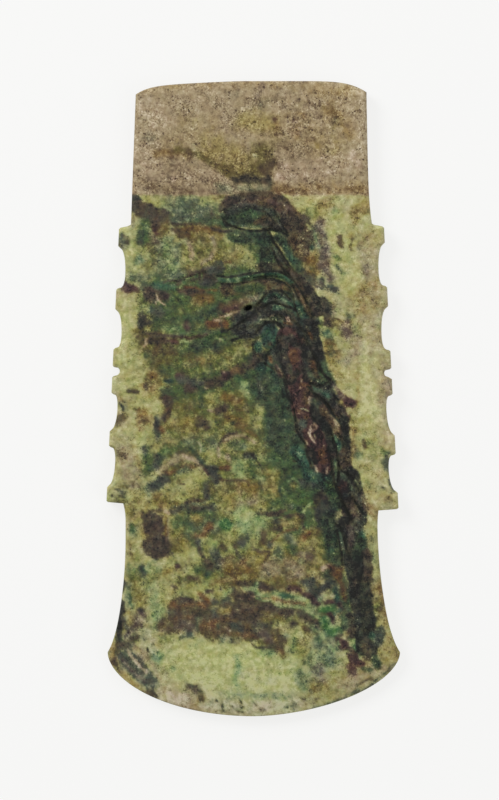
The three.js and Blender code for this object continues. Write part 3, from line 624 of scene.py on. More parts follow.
# %% The flared end
LOWER_STAINS = [
    ("mustard", 3.4, 0.6, -37, 128.6, -34.6, 130), ("ochre", 2.4, 0.7, -32.8, 135.2, -31.6, 136),
    ("umber", 6.6, 1, -30.2, 131.8, -29.8, 133.4), ("umber", 5.6, 1, -30.6, 139, -27.4, 139.2),
    ("umber", 3, 1, -32.2, 138.8, -29.6, 142, -28.8, 135.4), ("mauve", 1.2, 0.4, -29, 131, -28.6, 140),
    ("brown", 0.8, 0.8, -31, 128.5, -27.6, 128.6), ("bone", 1.2, 0.95, -26.4, 128.8, -25.8, 129.6),
    ("sand", 1, 0.8, -25.8, 131, -25.6, 137), ("ochre", 0.6, 0.8, -26.4, 130.6, -26.2, 136),
    ("fern", 1.4, 0.85, -36.6, 133, -36, 134.8), ("sage", 1.6, 0.7, -36, 136.2),
    ("brown", 1.5, 0.7, -36.8, 139, -36.6, 141.4), ("jade", 3, 0.85, -35, 138.6, -34.4, 143.6),
    ("mustard", 3.6, 0.85, -22.6, 137.4, -22, 139.4), ("jade", 5, 0.9, -25.6, 145.6, -17.8, 141.8),
    ("jade", 4, 0.85, -20, 146.6, -17, 144), ("mustard", 1.6, 0.7, -27, 147.2, -22.4, 146.2),
    ("sand", 3, 0.45, -22, 144.6, -20, 144), ("maroon", 0.9, 0.9, -22.6, 145.1),
    ("umber", 0.6, 0.8, -26, 142, -24, 141.4), ("fern", 6, 0.6, -22, 132, -14, 132),
    ("sage", 4.4, 0.6, -17, 133, -11, 133.6), ("mustard", 2, 0.95, -17.8, 131, -16.6, 131.4),
    ("rust", 1.9, 0.95, -17.2, 136.4, -14.8, 135.4, -13, 133.6),
    ("emerald", 3.2, 0.9, -8.6, 132.4, -7.6, 133), ("leaf", 2, 0.7, -19.4, 136.4, -17, 138),
    ("slate", 1.4, 0.85, -16.6, 138, -15.8, 141), ("celadon", 2.6, 0.5, -12.6, 138, -11.4, 139.6),
    ("umber", 0.8, 0.95, -16.2, 139.6, -15.4, 142, -13.6, 144),
    ("umber", 2.2, 0.9, -14.2, 144, -13, 145.4), ("black", 0.6, 0.7, -15, 142.4),
    ("slate", 2.6, 0.8, -11.2, 141.4, -10.2, 144.6), ("teal", 1.6, 0.8, -13.8, 147.4),
    ("umber", 1.4, 0.9, -9.2, 139, -8.2, 140.4), ("celadon", 6.6, 0.97, -3.4, 130.2, -2, 133, 0.6, 133),
    ("jade", 3, 0.6, -2.4, 130), ("slate", 2.6, 0.9, -3.6, 138.8, -2.6, 137),
    ("umber", 1, 0.8, -5.6, 139.2, -4.8, 141.8), ("brown", 1.6, 0.7, -7, 142.6, -6, 142.8),
    ("slate", 1.5, 0.8, -4.2, 143, -3, 143.6), ("ochre", 4, 0.7, -8, 145.4, -4.6, 146),
    ("mustard", 4, 0.8, 0, 142, 2.4, 143), ("rust", 1.3, 0.6, -2.6, 144.4, -1.6, 147),
    ("slate", 1.7, 0.9, -33.4, 145.6, -32.6, 147.4), ("slate", 1.4, 0.8, -31.2, 144.8),
    ("celadon", 3.4, 0.7, -36.6, 146.4), ("fern", 1, 0.7, -37.6, 145),
    ("ochre", 2.2, 0.7, -30, 146, -28.4, 148), ("fern", 2, 0.6, -17, 146.2, -15.4, 145.4),
    ("umber", 9, 0.8, -20.6, 159.6, 1, 161), ("brown", 6, 0.8, -14, 164, 2, 165, 7, 168),
    ("umber", 3.4, 0.85, -6, 153.6, 17, 161.4), ("leaf", 4, 0.75, 23, 147, 26.6, 150, 28.4, 163),
    ("umber", 2.4, 0.5, 35, 146, 36, 162), ("celadon", 5, 0.5, -30, 146, -29, 160),
    ("sage", 3, 0.7, -37.6, 152, -37, 157), ("soot", 0.8, 0.95, -39.2, 149.8, -39.4, 152.4),
    ("teal", 0.6, 0.9, -37, 153.4, -36.8, 155.8, -36.2, 157.4),
    ("mustard", 4.4, 0.75, -34.6, 153, -33.6, 156.4), ("moss", 3, 0.7, -36.8, 147.4),
    ("celadon", 3, 0.6, -30, 158, -30, 163), ("jade", 4.4, 0.5, -26.4, 151, -26, 154),
    ("umber", 0.9, 0.9, -24.2, 151.4, -23.2, 151.8), ("umber", 0.7, 0.8, -22.2, 150.6),
    ("brown", 1.4, 0.9, -19.4, 149.2, -16.8, 149), ("brown", 0.8, 0.7, -22.4, 149),
    ("ochre", 2.6, 0.7, -11.6, 150, -4, 149.4), ("jade", 3.2, 0.95, -18.4, 151.6, -13, 152.6, -9, 152.6),
    ("celadon", 1.4, 0.9, -8.6, 153.4, -6.4, 152.6), ("umber", 0.8, 0.95, -14.1, 152.8, -12.6, 152.8),
    ("umber", 0.8, 0.8, -9.8, 152), ("brown", 3, 0.8, -20.6, 158.6, -17.8, 158.6),
    ("umber", 1, 1, -24.2, 155.8, -21.4, 155.1, -19.4, 155.2, -17.6, 156.8),
    ("rust", 1.8, 0.75, -24.6, 156.4, -23.8, 157), ("umber", 4.4, 0.8, -22.4, 162.4, -17, 162.6),
    ("mauve", 3, 0.6, -21.6, 162, -18.6, 164), ("slate", 2, 0.8, -21.6, 166.4, -19.6, 165.8),
    ("sage", 1.8, 0.8, -16.4, 161, -16.4, 163.4),
    ("rust", 1.1, 0.95, -16.2, 153.4, -14.6, 155, -12.6, 156.3),
    ("sand", 1.3, 0.9, -16.4, 156, -15.6, 156.8), ("sand", 1, 0.9, -12.6, 155.6, -11.6, 155.6),
    ("slate", 1.8, 0.8, -11.6, 156.6, -11.4, 160.4), ("rust", 3, 0.7, -15, 163.4, -11.4, 163.6),
    ("brown", 3, 0.8, -14.4, 165, -5, 165.8), ("sage", 1.4, 0.7, -10.4, 163.2),
    ("slate", 2.4, 0.85, -6.4, 162.4, -4, 164), ("mustard", 1.9, 0.95, -9.6, 158.4, -7.4, 158.4),
    ("slate", 1.3, 0.8, -9.4, 155.6, -7.2, 155.2), ("umber", 3.4, 0.95, -4.6, 153.4, -2, 157, -4.6, 159),
    ("umber", 3, 0.85, -3, 160.4, 0.6, 161), ("bone", 0.5, 0.9, -3.9, 155, -2.5, 154.6),
    ("bone", 0.7, 0.9, -8, 163.5, -7.2, 164.6), ("sage", 1.9, 0.7, -9, 167, -7, 167),
    ("brown", 2.6, 0.75, -27, 162.6, -25.4, 164.2), ("mauve", 1.4, 0.8, -34, 158.8, -33, 160),
    ("soot", 1, 0.7, -33.6, 158.4), ("mauve", 3, 0.85, -34.4, 161.6, -36.4, 163.6, -38.2, 166.6),
    ("slate", 1.4, 0.8, -38.6, 161, -38, 163.6), ("soot", 1.8, 0.95, -39.2, 156.4, -40, 162, -40.6, 171),
    ("umber", 1.8, 0.7, -36, 166.6, -35, 167.4), ("chalk", 4.6, 0.8, -31.8, 166, -31.4, 170),
    ("soot", 0.45, 0.9, -32.6, 167.4), ("soot", 0.45, 0.9, -30.4, 168.8, -29.8, 168.4),
    ("black", 0.5, 0.9, -31.8, 169.6, -31.5, 170.8), ("sand", 3, 0.6, -36.6, 169.6, -33, 173),
    ("moss", 2.2, 0.85, -27.4, 167, -25.4, 167.2), ("verdigris", 3, 0.7, -30.4, 173.6, -28.6, 172.4),
    ("ochre", 3.4, 0.75, -41.6, 170.4, -41.2, 173), ("umber", 2.6, 0.75, -39, 168.8, -38, 172),
    ("slate", 5.6, 0.95, -38.4, 172.6, -31, 180.2), ("umber", 1.3, 0.8, -42.4, 173.6, -40, 177),
    ("ochre", 1.6, 0.8, -38.6, 178.8, -34.6, 181.6), ("brown", 1, 0.8, -34, 182.4, -29.8, 184.4),
    ("umber", 1.6, 0.7, -31, 182.6, -29.6, 184.2), ("mauve", 2.6, 0.4, -26.4, 177),
    ("verdigris", 1.6, 0.5, -24, 176.4),
    ("verdigris", 1.5, 0.55, -5, 172.6, -4.4, 176, -5.4, 180, -4, 184), ("sage", 4, 0.35, -6.6, 181),
    ("chalk", 3, 0.4, -2.4, 178, 6, 180), ("bone", 4, 0.6, -24, 184.6, -19, 186.2),
    ("umber", 2.2, 0.9, -19.4, 181.4, -16, 183.6, -15.2, 185.4),
    ("sage", 3, 0.5, -10, 184.4, -3, 183.6, 4, 184.6, 11, 184.4),
    ("mauve", 2.4, 0.35, -13, 187, -4, 187.4, 5, 187.2), ("chalk", 1, 0.9, -14, 187, -11, 187.4),
    ("chalk", 0.8, 0.9, -8.6, 186.2, -6, 187, -4.8, 188.4), ("soot", 0.5, 0.95, -12.6, 186, -11.2, 185.8),
    ("soot", 0.5, 0.95, -9.6, 186.6, -9, 187.6), ("soot", 0.6, 0.95, -9.8, 188.6, -3, 189),
    ("soot", 0.5, 0.95, -7.2, 187.9, -6.4, 187.6), ("soot", 0.6, 0.95, -4.6, 185.6, -3.8, 186.2),
    ("soot", 0.5, 0.95, -3.6, 187.6, -1.6, 188.3), ("soot", 0.5, 0.95, 0.4, 186.4, 1.2, 187),
    ("soot", 0.5, 0.95, 2, 188.4, 3.6, 188.4), ("soot", 0.6, 0.9, 9.6, 188, 10.4, 187.6),
    ("soot", 0.5, 0.9, 12, 186, 12.6, 186.8), ("umber", 0.6, 0.9, 14.2, 185.2, 15.4, 185.6),
    ("umber", 0.6, 0.9, 18, 185.8, 19.4, 184.8), ("bone", 3, 0.6, 1.6, 187.6, 5, 187.4),
    ("sand", 1.6, 0.5, -17, 188.2, -9, 189.4, 0, 189.8, 8, 189.4), ("ochre", 3, 0.5, -18, 187),
    ("rust", 1, 0.7, -22, 157.2, -18, 156.6, -14.6, 157.2),
    ("rust", 1.2, 0.65, -23.4, 161.4, -18.4, 160.6),
    ("rust", 1.2, 0.7, -12.4, 162, -9, 161.2, -5.6, 161.6), ("brown", 1.3, 0.7, -4.4, 156, 7, 160.4),
    ("rust", 1.2, 0.7, -7, 165.6, -2, 165.8, 1.4, 166.8), ("mauve", 1.4, 0.6, -23, 163.6, -18.4, 163),
    ("mustard", 0.8, 0.7, -12.8, 157.6, -10.6, 157), ("sand", 0.7, 0.7, -5.4, 158.8, -2.6, 157.8),
    ("bone", 1, 0.7, -37.6, 171, -35.2, 174.2, -32.2, 177.2),
    ("sand", 1.6, 0.7, -33, 171, -30, 175.4, -28.2, 179),
    ("mauve", 1, 0.6, -39.6, 173, -36.4, 177, -32, 180.4),
    # the right of the flared end
    ("mustard", 5.6, 0.8, 14.6, 138, 18.6, 137, 18, 142), ("celadon", 0.6, 0.8, 4.6, 131, 9, 130.6),
    ("slate", 1.8, 0.85, 6.4, 132, 8, 132.4), ("mustard", 3.4, 0.9, 9.8, 132.8, 12.8, 132),
    ("umber", 2, 0.85, 5.8, 134.6, 8, 134.2), ("rust", 0.8, 0.8, 5, 138.4, 7, 136.6, 10, 134.9, 13, 134),
    ("brown", 1.8, 0.8, 3.2, 135.4, 3, 138), ("slate", 1.7, 0.85, 4.8, 138.8),
    ("jade", 3, 0.7, 7.4, 138.8, 9, 137.6), ("sage", 2.2, 0.85, 10.6, 136.8, 11.8, 138),
    ("fern", 2, 0.7, 11, 139, 12.6, 140.8), ("rust", 2, 0.85, 15, 136.4, 16.4, 134.8),
    ("maroon", 1.2, 0.7, 15, 134), ("mauve", 2.6, 0.7, 14.4, 141.4, 17, 142),
    ("slate", 1.4, 0.6, 14.4, 144), ("sage", 3, 0.8, 7.2, 141.4, 7.4, 142.6),
    ("sand", 4.4, 0.7, 4, 146, 9, 145.8, 14, 147), ("bone", 1.6, 0.9, 20.8, 146, 22, 145.4),
    ("umber", 0.7, 0.85, 0.2, 140, 2, 141, 4.4, 140.8), ("umber", 0.4, 0.8, 4.4, 142, 2.8, 144.4),
    ("slate", 0.7, 0.5, 3.4, 146, 4.6, 147.4), ("fern", 4, 0.7, 22, 137, 22.6, 141.6),
    ("rust", 2.2, 0.7, 24.2, 145.6, 25.4, 150), ("slate", 4, 0.9, 16.8, 150.8, 18.6, 153),
    ("slate", 2.4, 0.9, 21, 151.4, 24, 150.6), ("umber", 1.6, 0.95, -4, 150.6, 0.4, 150.6),
    ("umber", 2, 0.95, 3, 151.4, 5, 152), ("leaf", 1.2, 0.9, 7.1, 152.7),
    ("maroon", 1.3, 0.9, 11, 151.9, 13.6, 152.4, 15, 153.6, 17.6, 154.6),
    ("maroon", 1.6, 0.9, 18.2, 155.8, 19.2, 156.6), ("maroon", 1.5, 0.95, 21.8, 156.2, 23.8, 156),
    ("umber", 1.4, 0.9, -4, 153.4, 1.6, 153.6),
    ("rust", 1, 0.85, 3, 154.5, 6, 154.9, 10, 156, 15.4, 156.3),
    ("celadon", 1.2, 1, -2.2, 151.8, 0.6, 151.7, 1.7, 153.3, 3, 154, 5, 153.5, 6.4, 152.9, 10, 154.6),
    ("celadon", 0.9, 0.95, 0.8, 151.4, 1.2, 150.4), ("verdigris", 1.6, 0.8, 8.6, 154, 13, 154.5),
    ("celadon", 1.4, 0.9, 13, 154.7, 16, 155.4, 16.2, 157),
    ("celadon", 0.8, 0.95, 1, 154.8, 2.4, 155.5, 4, 155.7, 5.2, 155.2),
    ("celadon", 1.1, 0.95, 5, 156.1, 8, 157.3, 10.4, 158), ("celadon", 1.3, 0.85, 11.6, 157.1, 16, 157.8),
    ("bone", 0.4, 0.8, -1.2, 154.9, 0.4, 154.4), ("umber", 2, 0.9, 1, 157, 5.6, 157.2),
    ("umber", 1.6, 1, 9.4, 158.8, 12, 159, 14, 160.2, 17, 160.8, 19, 161.9),
    ("mustard", 2.4, 0.9, 3.6, 161, 6.6, 160.6, 8.4, 162.2), ("jade", 1.2, 0.7, 4.6, 162.4, 8.6, 162.8),
    ("umber", 0.9, 0.9, 5.2, 162.3), ("umber", 0.6, 0.9, 7, 162.7),
    ("celadon", 1.2, 0.9, 17, 159.4, 18.2, 160.4), ("jade", 3.4, 0.8, 12, 165.4, 14.4, 163, 12.6, 161.6),
    ("umber", 1.3, 0.9, 11.8, 162.8, 13, 162.6), ("brown", 1.4, 0.85, 15, 164.2, 16.6, 164.6),
    ("slate", 2.6, 0.7, 0.4, 163.6, 3.6, 163.8), ("mauve", 2.6, 0.8, 2.4, 165.8, 4.6, 167),
    ("umber", 1, 0.8, 4, 164, 6.4, 164.6), ("brown", 3, 0.75, 7, 166, 8.6, 168),
    ("ochre", 1.2, 0.8, 6.6, 167), ("mustard", 1.8, 0.85, 1.8, 168.2),
    ("umber", 0.7, 0.9, -0.8, 167.4, 0.6, 169.4, 3, 169.9, 6, 169), ("sage", 1.6, 0.7, 9.8, 166),
    ("rust", 2, 0.75, 8.2, 170.8, 9, 172), ("celadon", 2, 0.6, 2, 171.2, 5.6, 171.4),
    ("fern", 2, 0.6, 12.2, 168, 12, 170.4), ("mustard", 3.4, 0.8, 16.4, 167, 15, 171),
    ("leaf", 1.4, 0.5, 17.4, 171.4, 16, 174),
    ("celadon", 0.5, 0.8, 19.4, 155.6, 20.4, 154.2, 21.6, 153.4),
    ("teal", 1.6, 0.9, 24.4, 152.6, 25.2, 155.6), ("chalk", 1, 0.95, 23.4, 153.9, 23.9, 153.8),
    ("rust", 1.8, 0.75, 26, 146.6, 26.4, 150.6, 27.4, 154.6),
    ("maroon", 1.3, 0.8, 25.8, 156.4, 26.4, 158), ("emerald", 2.2, 0.9, 21, 158.2, 23.4, 158.2),
    ("brown", 0.7, 0.9, 20.6, 159.7, 22.6, 159.8),
    ("maroon", 1.3, 0.9, 22.8, 160.2, 23.8, 161, 23.6, 162.4),
    ("emerald", 2.6, 0.85, 21.4, 162.2, 22.4, 164.4, 24.6, 164.6),
    ("sage", 2.6, 0.7, 26.8, 159.6, 27.4, 161), ("celadon", 1, 0.95, 26, 162.5, 27, 162.4),
    ("sage", 4.4, 0.6, 20, 167, 24, 174), ("umber", 1.2, 0.8, 28.4, 165, 28.4, 166.4),
    ("maroon", 1.9, 0.95, 26, 167.2, 27, 168.6, 26.8, 169.6),
    ("celadon", 0.4, 0.8, 25.3, 167.4, 25.8, 169), ("celadon", 1.6, 0.95, 29.4, 166.6, 31.4, 172.6),
    ("mauve", 3.8, 0.6, 19.4, 176.4, 20.6, 178.6),
    ("celadon", 0.9, 0.85, 19.6, 157.4, 22, 156.6, 24.4, 157.2),
    ("celadon", 0.9, 0.85, 19, 160.2, 20.4, 161.2, 20.2, 163),
    ("celadon", 0.9, 0.8, 22, 161, 22.8, 163, 25.4, 163.8, 26.4, 165.2),
    ("celadon", 0.8, 0.8, 17.2, 163.8, 19.6, 164.6, 21, 166.6),
    ("verdigris", 1.2, 0.8, 24.6, 159.8, 26, 158.2), ("celadon", 0.7, 0.7, 22.6, 169, 24.4, 171.4),
    ("maroon", 3, 0.8, 29.6, 172.4, 30, 178), ("maroon", 1.8, 0.8, 31, 174.6, 32.8, 174.6),
    ("sand", 4, 0.6, 27, 181.4, 38, 175.8), ("mustard", 4, 0.6, 23.6, 178),
    ("ochre", 3, 0.6, 17.4, 181.6, 21, 181), ("sage", 4, 0.6, 14, 178.4, 15, 181.6),
    ("sand", 2.6, 0.6, 13, 187, 18, 186), ("slate", 1.5, 0.6, 10.6, 187.2, 12, 188),
    ("slate", 0.9, 0.7, 18, 188.2, 27, 185.2, 36, 180.8, 42.6, 174.6),
    ("umber", 0.8, 0.7, 31, 181.4, 33, 180.2, 35.6, 179), ("leaf", 1.3, 0.7, 33, 176.2, 35, 176.6),
    ("jade", 2.4, 0.6, 36, 132.4, 36.6, 146), ("sage", 1.4, 0.5, 35.6, 136.6, 36, 144),
    ("ochre", 2.6, 0.7, 38.4, 150, 39.4, 162), ("moss", 2.6, 0.7, 36.6, 157.6, 37.2, 163),
    ("maroon", 1.2, 0.5, 38, 158), ("ochre", 3.6, 0.5, 41, 166.8, 42, 172),
    ("mustard", 4, 0.6, 38.8, 170, 39.4, 174),
]

# %% The crust and its red core
# Narrow black and soot lines in this list are partly painted shade: in the cracks, and in the creases
# beside the raised folds. Thin pale lines on the crests of the folds are painted highlights.
CRUST_STAINS = [
    # dark ground under everything
    ("umber", 11, 1, 13.4, 77, 17, 93), ("umber", 13, 1, 18.8, 97, 22, 108),
    ("umber", 7, 1, 26.4, 117, 30, 129), ("slate", 9, 0.9, -1, 72.6, 5, 68.6, 11, 68, 15, 72),
    ("leaf", 3.6, 0.9, 21.4, 118, 25, 127),
    # the cap and the leaf at the top
    # the black line under the leaf's lower rim is painted shade, the sage line above it a painted highlight
    ("umber", 5, 0.85, -8, 38, -3, 35.6, 3, 35.4, 8, 37), ("brown", 3.4, 0.8, 3, 36.4, 9, 37.2, 12.4, 41),
    ("mauve", 1.6, 0.6, 4, 36.2, 8.6, 36.8, 11, 38.8), ("umber", 4.4, 0.8, 10, 41, 13.4, 43.6, 14.6, 47),
    ("umber", 1.8, 0.7, 14.6, 42.2, 15.4, 45), ("leaf", 6, 0.97, -7, 41.2, -1, 40.6, 5, 41.6),
    ("soot", 1.6, 0.6, -7.4, 39.4, -3, 38.6), ("fern", 1.8, 0.6, -2.6, 40, 0.4, 40.4),
    ("brown", 1.6, 0.8, 0.6, 42.8, 3.4, 41, 6.6, 42.2), ("umber", 2, 0.8, 3, 43.6, 8, 44),
    ("slate", 0.8, 0.75, -8.6, 38.6, -4, 36.9, 0, 37.1, 3, 37.9, 7.2, 42, 9.4, 45),
    ("soot", 0.5, 0.9, -8.8, 39.4, -4, 37.7, 0, 37.9, 3.6, 39.4, 6.4, 42.4, 8.4, 45),
    ("black", 0.4, 0.8, 6.6, 39.6, 8.4, 42.8, 10.4, 46),
    ("sage", 0.8, 0.7, -8.4, 41.8, -5, 43.4, 0, 44, 4, 43.8),
    ("black", 0.8, 1, -9.2, 41.4, -8, 43.2, -4, 44.6, 0, 45.2, 5, 44.8, 8, 45.2, 10.4, 46.4),
    # the hollow under the leaf and the teal wedge with its rolled edge
    # black lines beside the long crease are partly painted shade, sage lines on its crest painted highlight
    ("leaf", 4, 0.75, -6, 46.6, 3, 47.4), ("leaf", 5.4, 0.85, 3.4, 48, 4.4, 52),
    ("fern", 3.6, 0.5, 0.6, 50, 2.6, 54), ("leaf", 3.4, 0.7, 3, 53, 5, 56),
    ("leaf", 2.8, 0.9, 7.6, 47.2, 10, 49.6, 12, 52.6, 13.4, 56.4),
    ("verdigris", 1.4, 0.5, 9.4, 50.2, 12, 54.6), ("brown", 5, 0.8, 13, 48, 14.6, 51),
    ("umber", 2.6, 0.8, 16.8, 46, 17.2, 49), ("teal", 1.4, 0.7, 17.5, 50),
    ("umber", 2.4, 0.95, 7.4, 52.4, 13.6, 61.6), ("sage", 1.7, 0.95, 6.7, 50.8, 7.2, 51.8),
    ("sage", 0.9, 0.6, 8, 52.8, 10.2, 56),
    ("black", 0.6, 1, 4.6, 45, 6, 48.4, 8, 50.9, 10.2, 54, 12, 56.9, 13.4, 58.8),
    ("black", 0.6, 0.95, 5.7, 50.4, 6.6, 53, 8.6, 56, 11, 59.2),
    ("umber", 5, 0.9, 12, 60, 16.4, 64, 19, 68.6), ("soot", 2, 0.6, 16, 61.6, 19, 66, 21, 70),
    # between the two folds
    # and the black lines along both its sides partly painted shade
    # on the upper fold the verdigris band and the thin celadon line are partly painted highlight,
    ("umber", 4, 0.6, 2.6, 56, 7, 56.6), ("brown", 4.6, 0.7, -8, 62.4, 2, 61.4, 9, 62.6),
    ("fern", 3, 0.7, -4, 62.4, 2, 62),
    ("verdigris", 1.7, 0.95, -9, 59.8, -5, 59.8, 4, 57.9, 7, 57.9, 9, 58.7, 11.4, 60.4),
    ("celadon", 0.6, 0.5, -6, 59.5, -1, 58.8, 3, 57.9), ("soot", 0.4, 0.6, -3, 59.6, 3, 58.5, 7, 58.4),
    ("black", 0.6, 1, -11, 58.4, -7, 58.8, -4, 58.4, 4, 56.8, 8, 57, 10.4, 58.8),
    ("black", 0.6, 1, -9.6, 60.9, -5, 61, 2, 59.4, 6, 59.3, 9, 60.5, 11, 62.2, 12, 65),
    # the long creases beside them
    # the thin sand line on the crest is a painted highlight, the black lines beside it partly painted shade
    ("brown", 1.5, 0.8, 13.3, 62.6, 16.8, 70.6), ("sand", 0.5, 0.6, 13.8, 63.6, 15.4, 67.2),
    ("black", 0.6, 1, 9, 56, 13.9, 62.6, 16, 66.2, 17.6, 70, 18.2, 73),
    ("black", 0.6, 1, 11.6, 61, 15, 68.8, 17, 72), ("soot", 0.5, 0.8, 17.6, 62, 19.6, 65.4, 20.6, 69),
    # the middle fold round the pit
    # the thin verdigris line on its crest is partly painted highlight, the black lines partly painted shade
    ("leaf", 6, 0.9, 5.4, 66, 9.6, 66, 12, 70), ("slate", 3.2, 0.85, 5.4, 65, 8.6, 65, 11, 67),
    ("verdigris", 0.9, 0.85, 3.4, 66, 5, 64.4, 6.6, 63.8, 10, 66.4, 12, 67.4),
    ("soot", 5, 0.8, -1.4, 72, 3, 69, 8, 70, 13, 73), ("verdigris", 1.6, 0.8, 6.4, 68.2, 9, 67.9),
    ("teal", 3, 0.8, 13, 67.4, 17, 74), ("sage", 0.9, 0.6, 13.4, 68, 16.2, 73.4),
    ("black", 0.6, 1, -0.4, 69, 4, 63.8, 6, 62.6, 8.4, 63, 11, 65.6),
    ("black", 0.7, 1, 2.8, 68.4, 4.2, 67.2, 6.2, 66.4, 12.4, 68.6),
    ("black", 0.5, 0.9, 12, 64.4, 12.6, 68.2, 14, 71.6),
    ("black", 0.6, 0.95, 2.6, 69.6, 6, 69.2, 9, 71, 12, 72, 15, 75, 18, 77.6),
    # the lower fold
    # its thin sage, chalk and bone lines are painted highlights, its black lines partly painted shade
    ("slate", 3.6, 0.8, -4.6, 74.4, 0, 73.6, 3, 71.6),
    ("sage", 1.1, 0.85, 0.4, 72.8, 2.6, 71.4, 6, 71.2, 8.6, 72.4),
    ("chalk", 0.6, 0.8, 2.2, 71.5, 4.4, 71.4), ("bone", 0.5, 0.8, 4.8, 70.6, 6, 70.4),
    ("bone", 1.3, 1, 10.2, 71, 10.6, 71.9), ("rust", 0.6, 0.7, 9.2, 72.6, 11.6, 73),
    ("black", 0.8, 1, -6.4, 77.8, -3, 76.6, 0.4, 76, 2, 74.2, 4, 72.6, 7, 72.4, 9, 74.4, 9.2, 76.6),
    ("black", 0.7, 0.95, -9.6, 75, -6, 74.2, -4, 72.8, -1.6, 71.4, 0.4, 69.6, 2.4, 67.6),
    # the teal mound and what lies under it
    ("teal", 5, 0.97, 5, 75.2, 4.8, 77.6), ("verdigris", 2.6, 0.6, 3.8, 75.6, 5.8, 77),
    ("brown", 1.2, 0.7, 5, 79), ("verdigris", 2.6, 0.9, 1.6, 79.3, 1.4, 80.6),
    ("black", 0.5, 0.9, 1.4, 77, 0, 79, 0.4, 81.4),
    ("black", 0.5, 0.9, 7.8, 78, 6.2, 80, 4.6, 81.4, 4, 82.8, 3.5, 84.6),
    ("slate", 2.4, 0.85, 6.2, 81, 6.8, 82.6), ("umber", 2.6, 0.75, 1.4, 82.4, 2, 84.4),
    ("teal", 3.4, 0.75, 2.6, 86, 4.6, 85.8), ("celadon", 1, 0.5, 3.8, 85, 4.8, 86.4),
    ("rust", 1, 0.85, 4.9, 82.8, 5.3, 84), ("leaf", 4, 0.75, 6, 88, 7.4, 92, 8, 97),
    ("slate", 1.6, 0.7, 1.6, 91, 2.6, 92.6),
    # the right flank of the crust, from the folds down
    ("soot", 4.4, 0.9, 17, 73, 19.4, 83), ("slate", 2.6, 0.7, 16.2, 79.6, 17, 82.6),
    ("rust", 1, 0.6, 16, 74, 17.6, 77), ("leaf", 5, 0.8, 20, 86, 22, 91),
    # the core
    ("maroon", 6.6, 1, 10.4, 77, 12.6, 86), ("maroon", 6.4, 1, 12.6, 86, 14.4, 98),
    ("soot", 3.6, 0.85, 8.8, 78, 8.6, 82, 10, 86), ("soot", 2.2, 0.75, 14.8, 80, 15.8, 84, 16, 89),
    ("soot", 2.4, 0.7, 11.4, 77, 13, 79), ("rust", 2.8, 0.8, 11.8, 81.4, 12.2, 83.4),
    ("black", 0.5, 0.7, 11, 87, 12.4, 88.8, 13.8, 87.4, 12.6, 86), ("soot", 2.6, 0.6, 14.6, 86, 11, 90),
    ("bone", 0.9, 0.95, 14.5, 89.6, 14.2, 91.8), ("rust", 1.5, 0.8, 14.2, 91, 16.3, 91.4),
    ("brown", 2.4, 0.7, 16, 93, 15.6, 96), ("bone", 0.6, 0.8, 12.4, 93.6), ("bone", 0.7, 0.8, 12.8, 95.1),
    ("bone", 1.3, 1, 17.1, 95.2, 17, 97), ("ochre", 0.7, 0.7, 16.2, 96.4, 15.6, 97.6),
    ("chalk", 0.5, 0.95, 14.3, 98.2, 15.2, 98.2, 16.4, 98.8), ("rust", 1.2, 0.7, 13.6, 98.8, 14.4, 100),
    ("bone", 0.4, 0.8, 13.2, 99.8, 14.4, 99.4), ("soot", 2.8, 1, 18.4, 98, 19.2, 102, 20.6, 105),
    ("maroon", 3.6, 0.95, 15, 101, 16.4, 103), ("ochre", 1.3, 0.95, 15.8, 100.8),
    ("brown", 1.4, 0.8, 13.2, 102.6, 13.4, 105), ("slate", 3, 0.95, 14.8, 102.4, 15.2, 105.8),
    ("maroon", 6.6, 1, 18.2, 106, 20, 115), ("soot", 2.4, 0.7, 17.2, 111, 17.8, 114.4),
    ("rust", 2.4, 0.8, 20.4, 111, 20.8, 113.4),
    ("bone", 1, 1, 17, 104.8, 17.2, 103.6, 18.4, 102.8, 19, 103.4, 18.4, 104.4, 17.4, 104.9),
    ("brown", 0.8, 0.9, 18, 103.8), ("bone", 0.9, 0.95, 16.8, 105.4, 17.4, 106.8, 18.6, 108.4),
    ("chalk", 0.5, 0.9, 18.2, 105.8, 18.6, 107.2), ("bone", 0.6, 0.8, 15.8, 107.8, 16.2, 108.8),
    ("sand", 0.7, 0.8, 21, 109.2, 21.6, 110.2), ("bone", 0.9, 0.95, 18.2, 115.2, 18.8, 117),
    ("bone", 0.8, 0.95, 22.2, 115.8, 21.7, 117.6),
    ("teal", 3.6, 0.8, 12.4, 110.6, 15.4, 114.6, 17.4, 118.4, 21.4, 120),
    ("verdigris", 1.8, 0.7, 13, 111, 14.6, 112.6), ("teal", 1.6, 0.9, 15.4, 118, 17.6, 119),
    ("celadon", 1, 0.7, 17.8, 118.8),
    ("black", 0.6, 1, 3.6, 84.8, 6, 86.2, 8, 87.6, 9.3, 89, 9.8, 91, 9.7, 93, 10.4, 95.2, 11.6, 96.6),
    ("bone", 0.6, 0.85, 6.8, 85, 8.6, 87.8), ("mauve", 1.4, 0.7, 6.6, 85.4, 8.2, 88),
    ("black", 0.6, 1, 12.3, 98.6, 13, 104.4, 14.2, 106.8, 15.4, 108.6, 16, 112, 17.4, 116),
    ("black", 0.9, 0.9, 10.2, 97.9), ("black", 0.9, 0.95, 7.1, 93.8), ("black", 0.9, 0.9, 12, 114),
    ("chalk", 0.6, 0.9, 9.4, 101.5), ("chalk", 0.5, 0.8, 12.8, 111.2),
    # the plates on the right of the core
    ("brown", 1.9, 0.95, 17.7, 84, 18.2, 86.6, 19, 88.6), ("ochre", 1.1, 0.8, 17.8, 84.4, 18.4, 86.6),
    ("bone", 0.6, 0.95, 16.9, 85.3), ("sage", 1.5, 0.9, 16.8, 87.4, 18, 89.4, 20, 89.8),
    ("black", 0.8, 1, 15.4, 76.6, 17, 80, 19.6, 85, 20.6, 87.4, 22.2, 89.2, 23.4, 90),
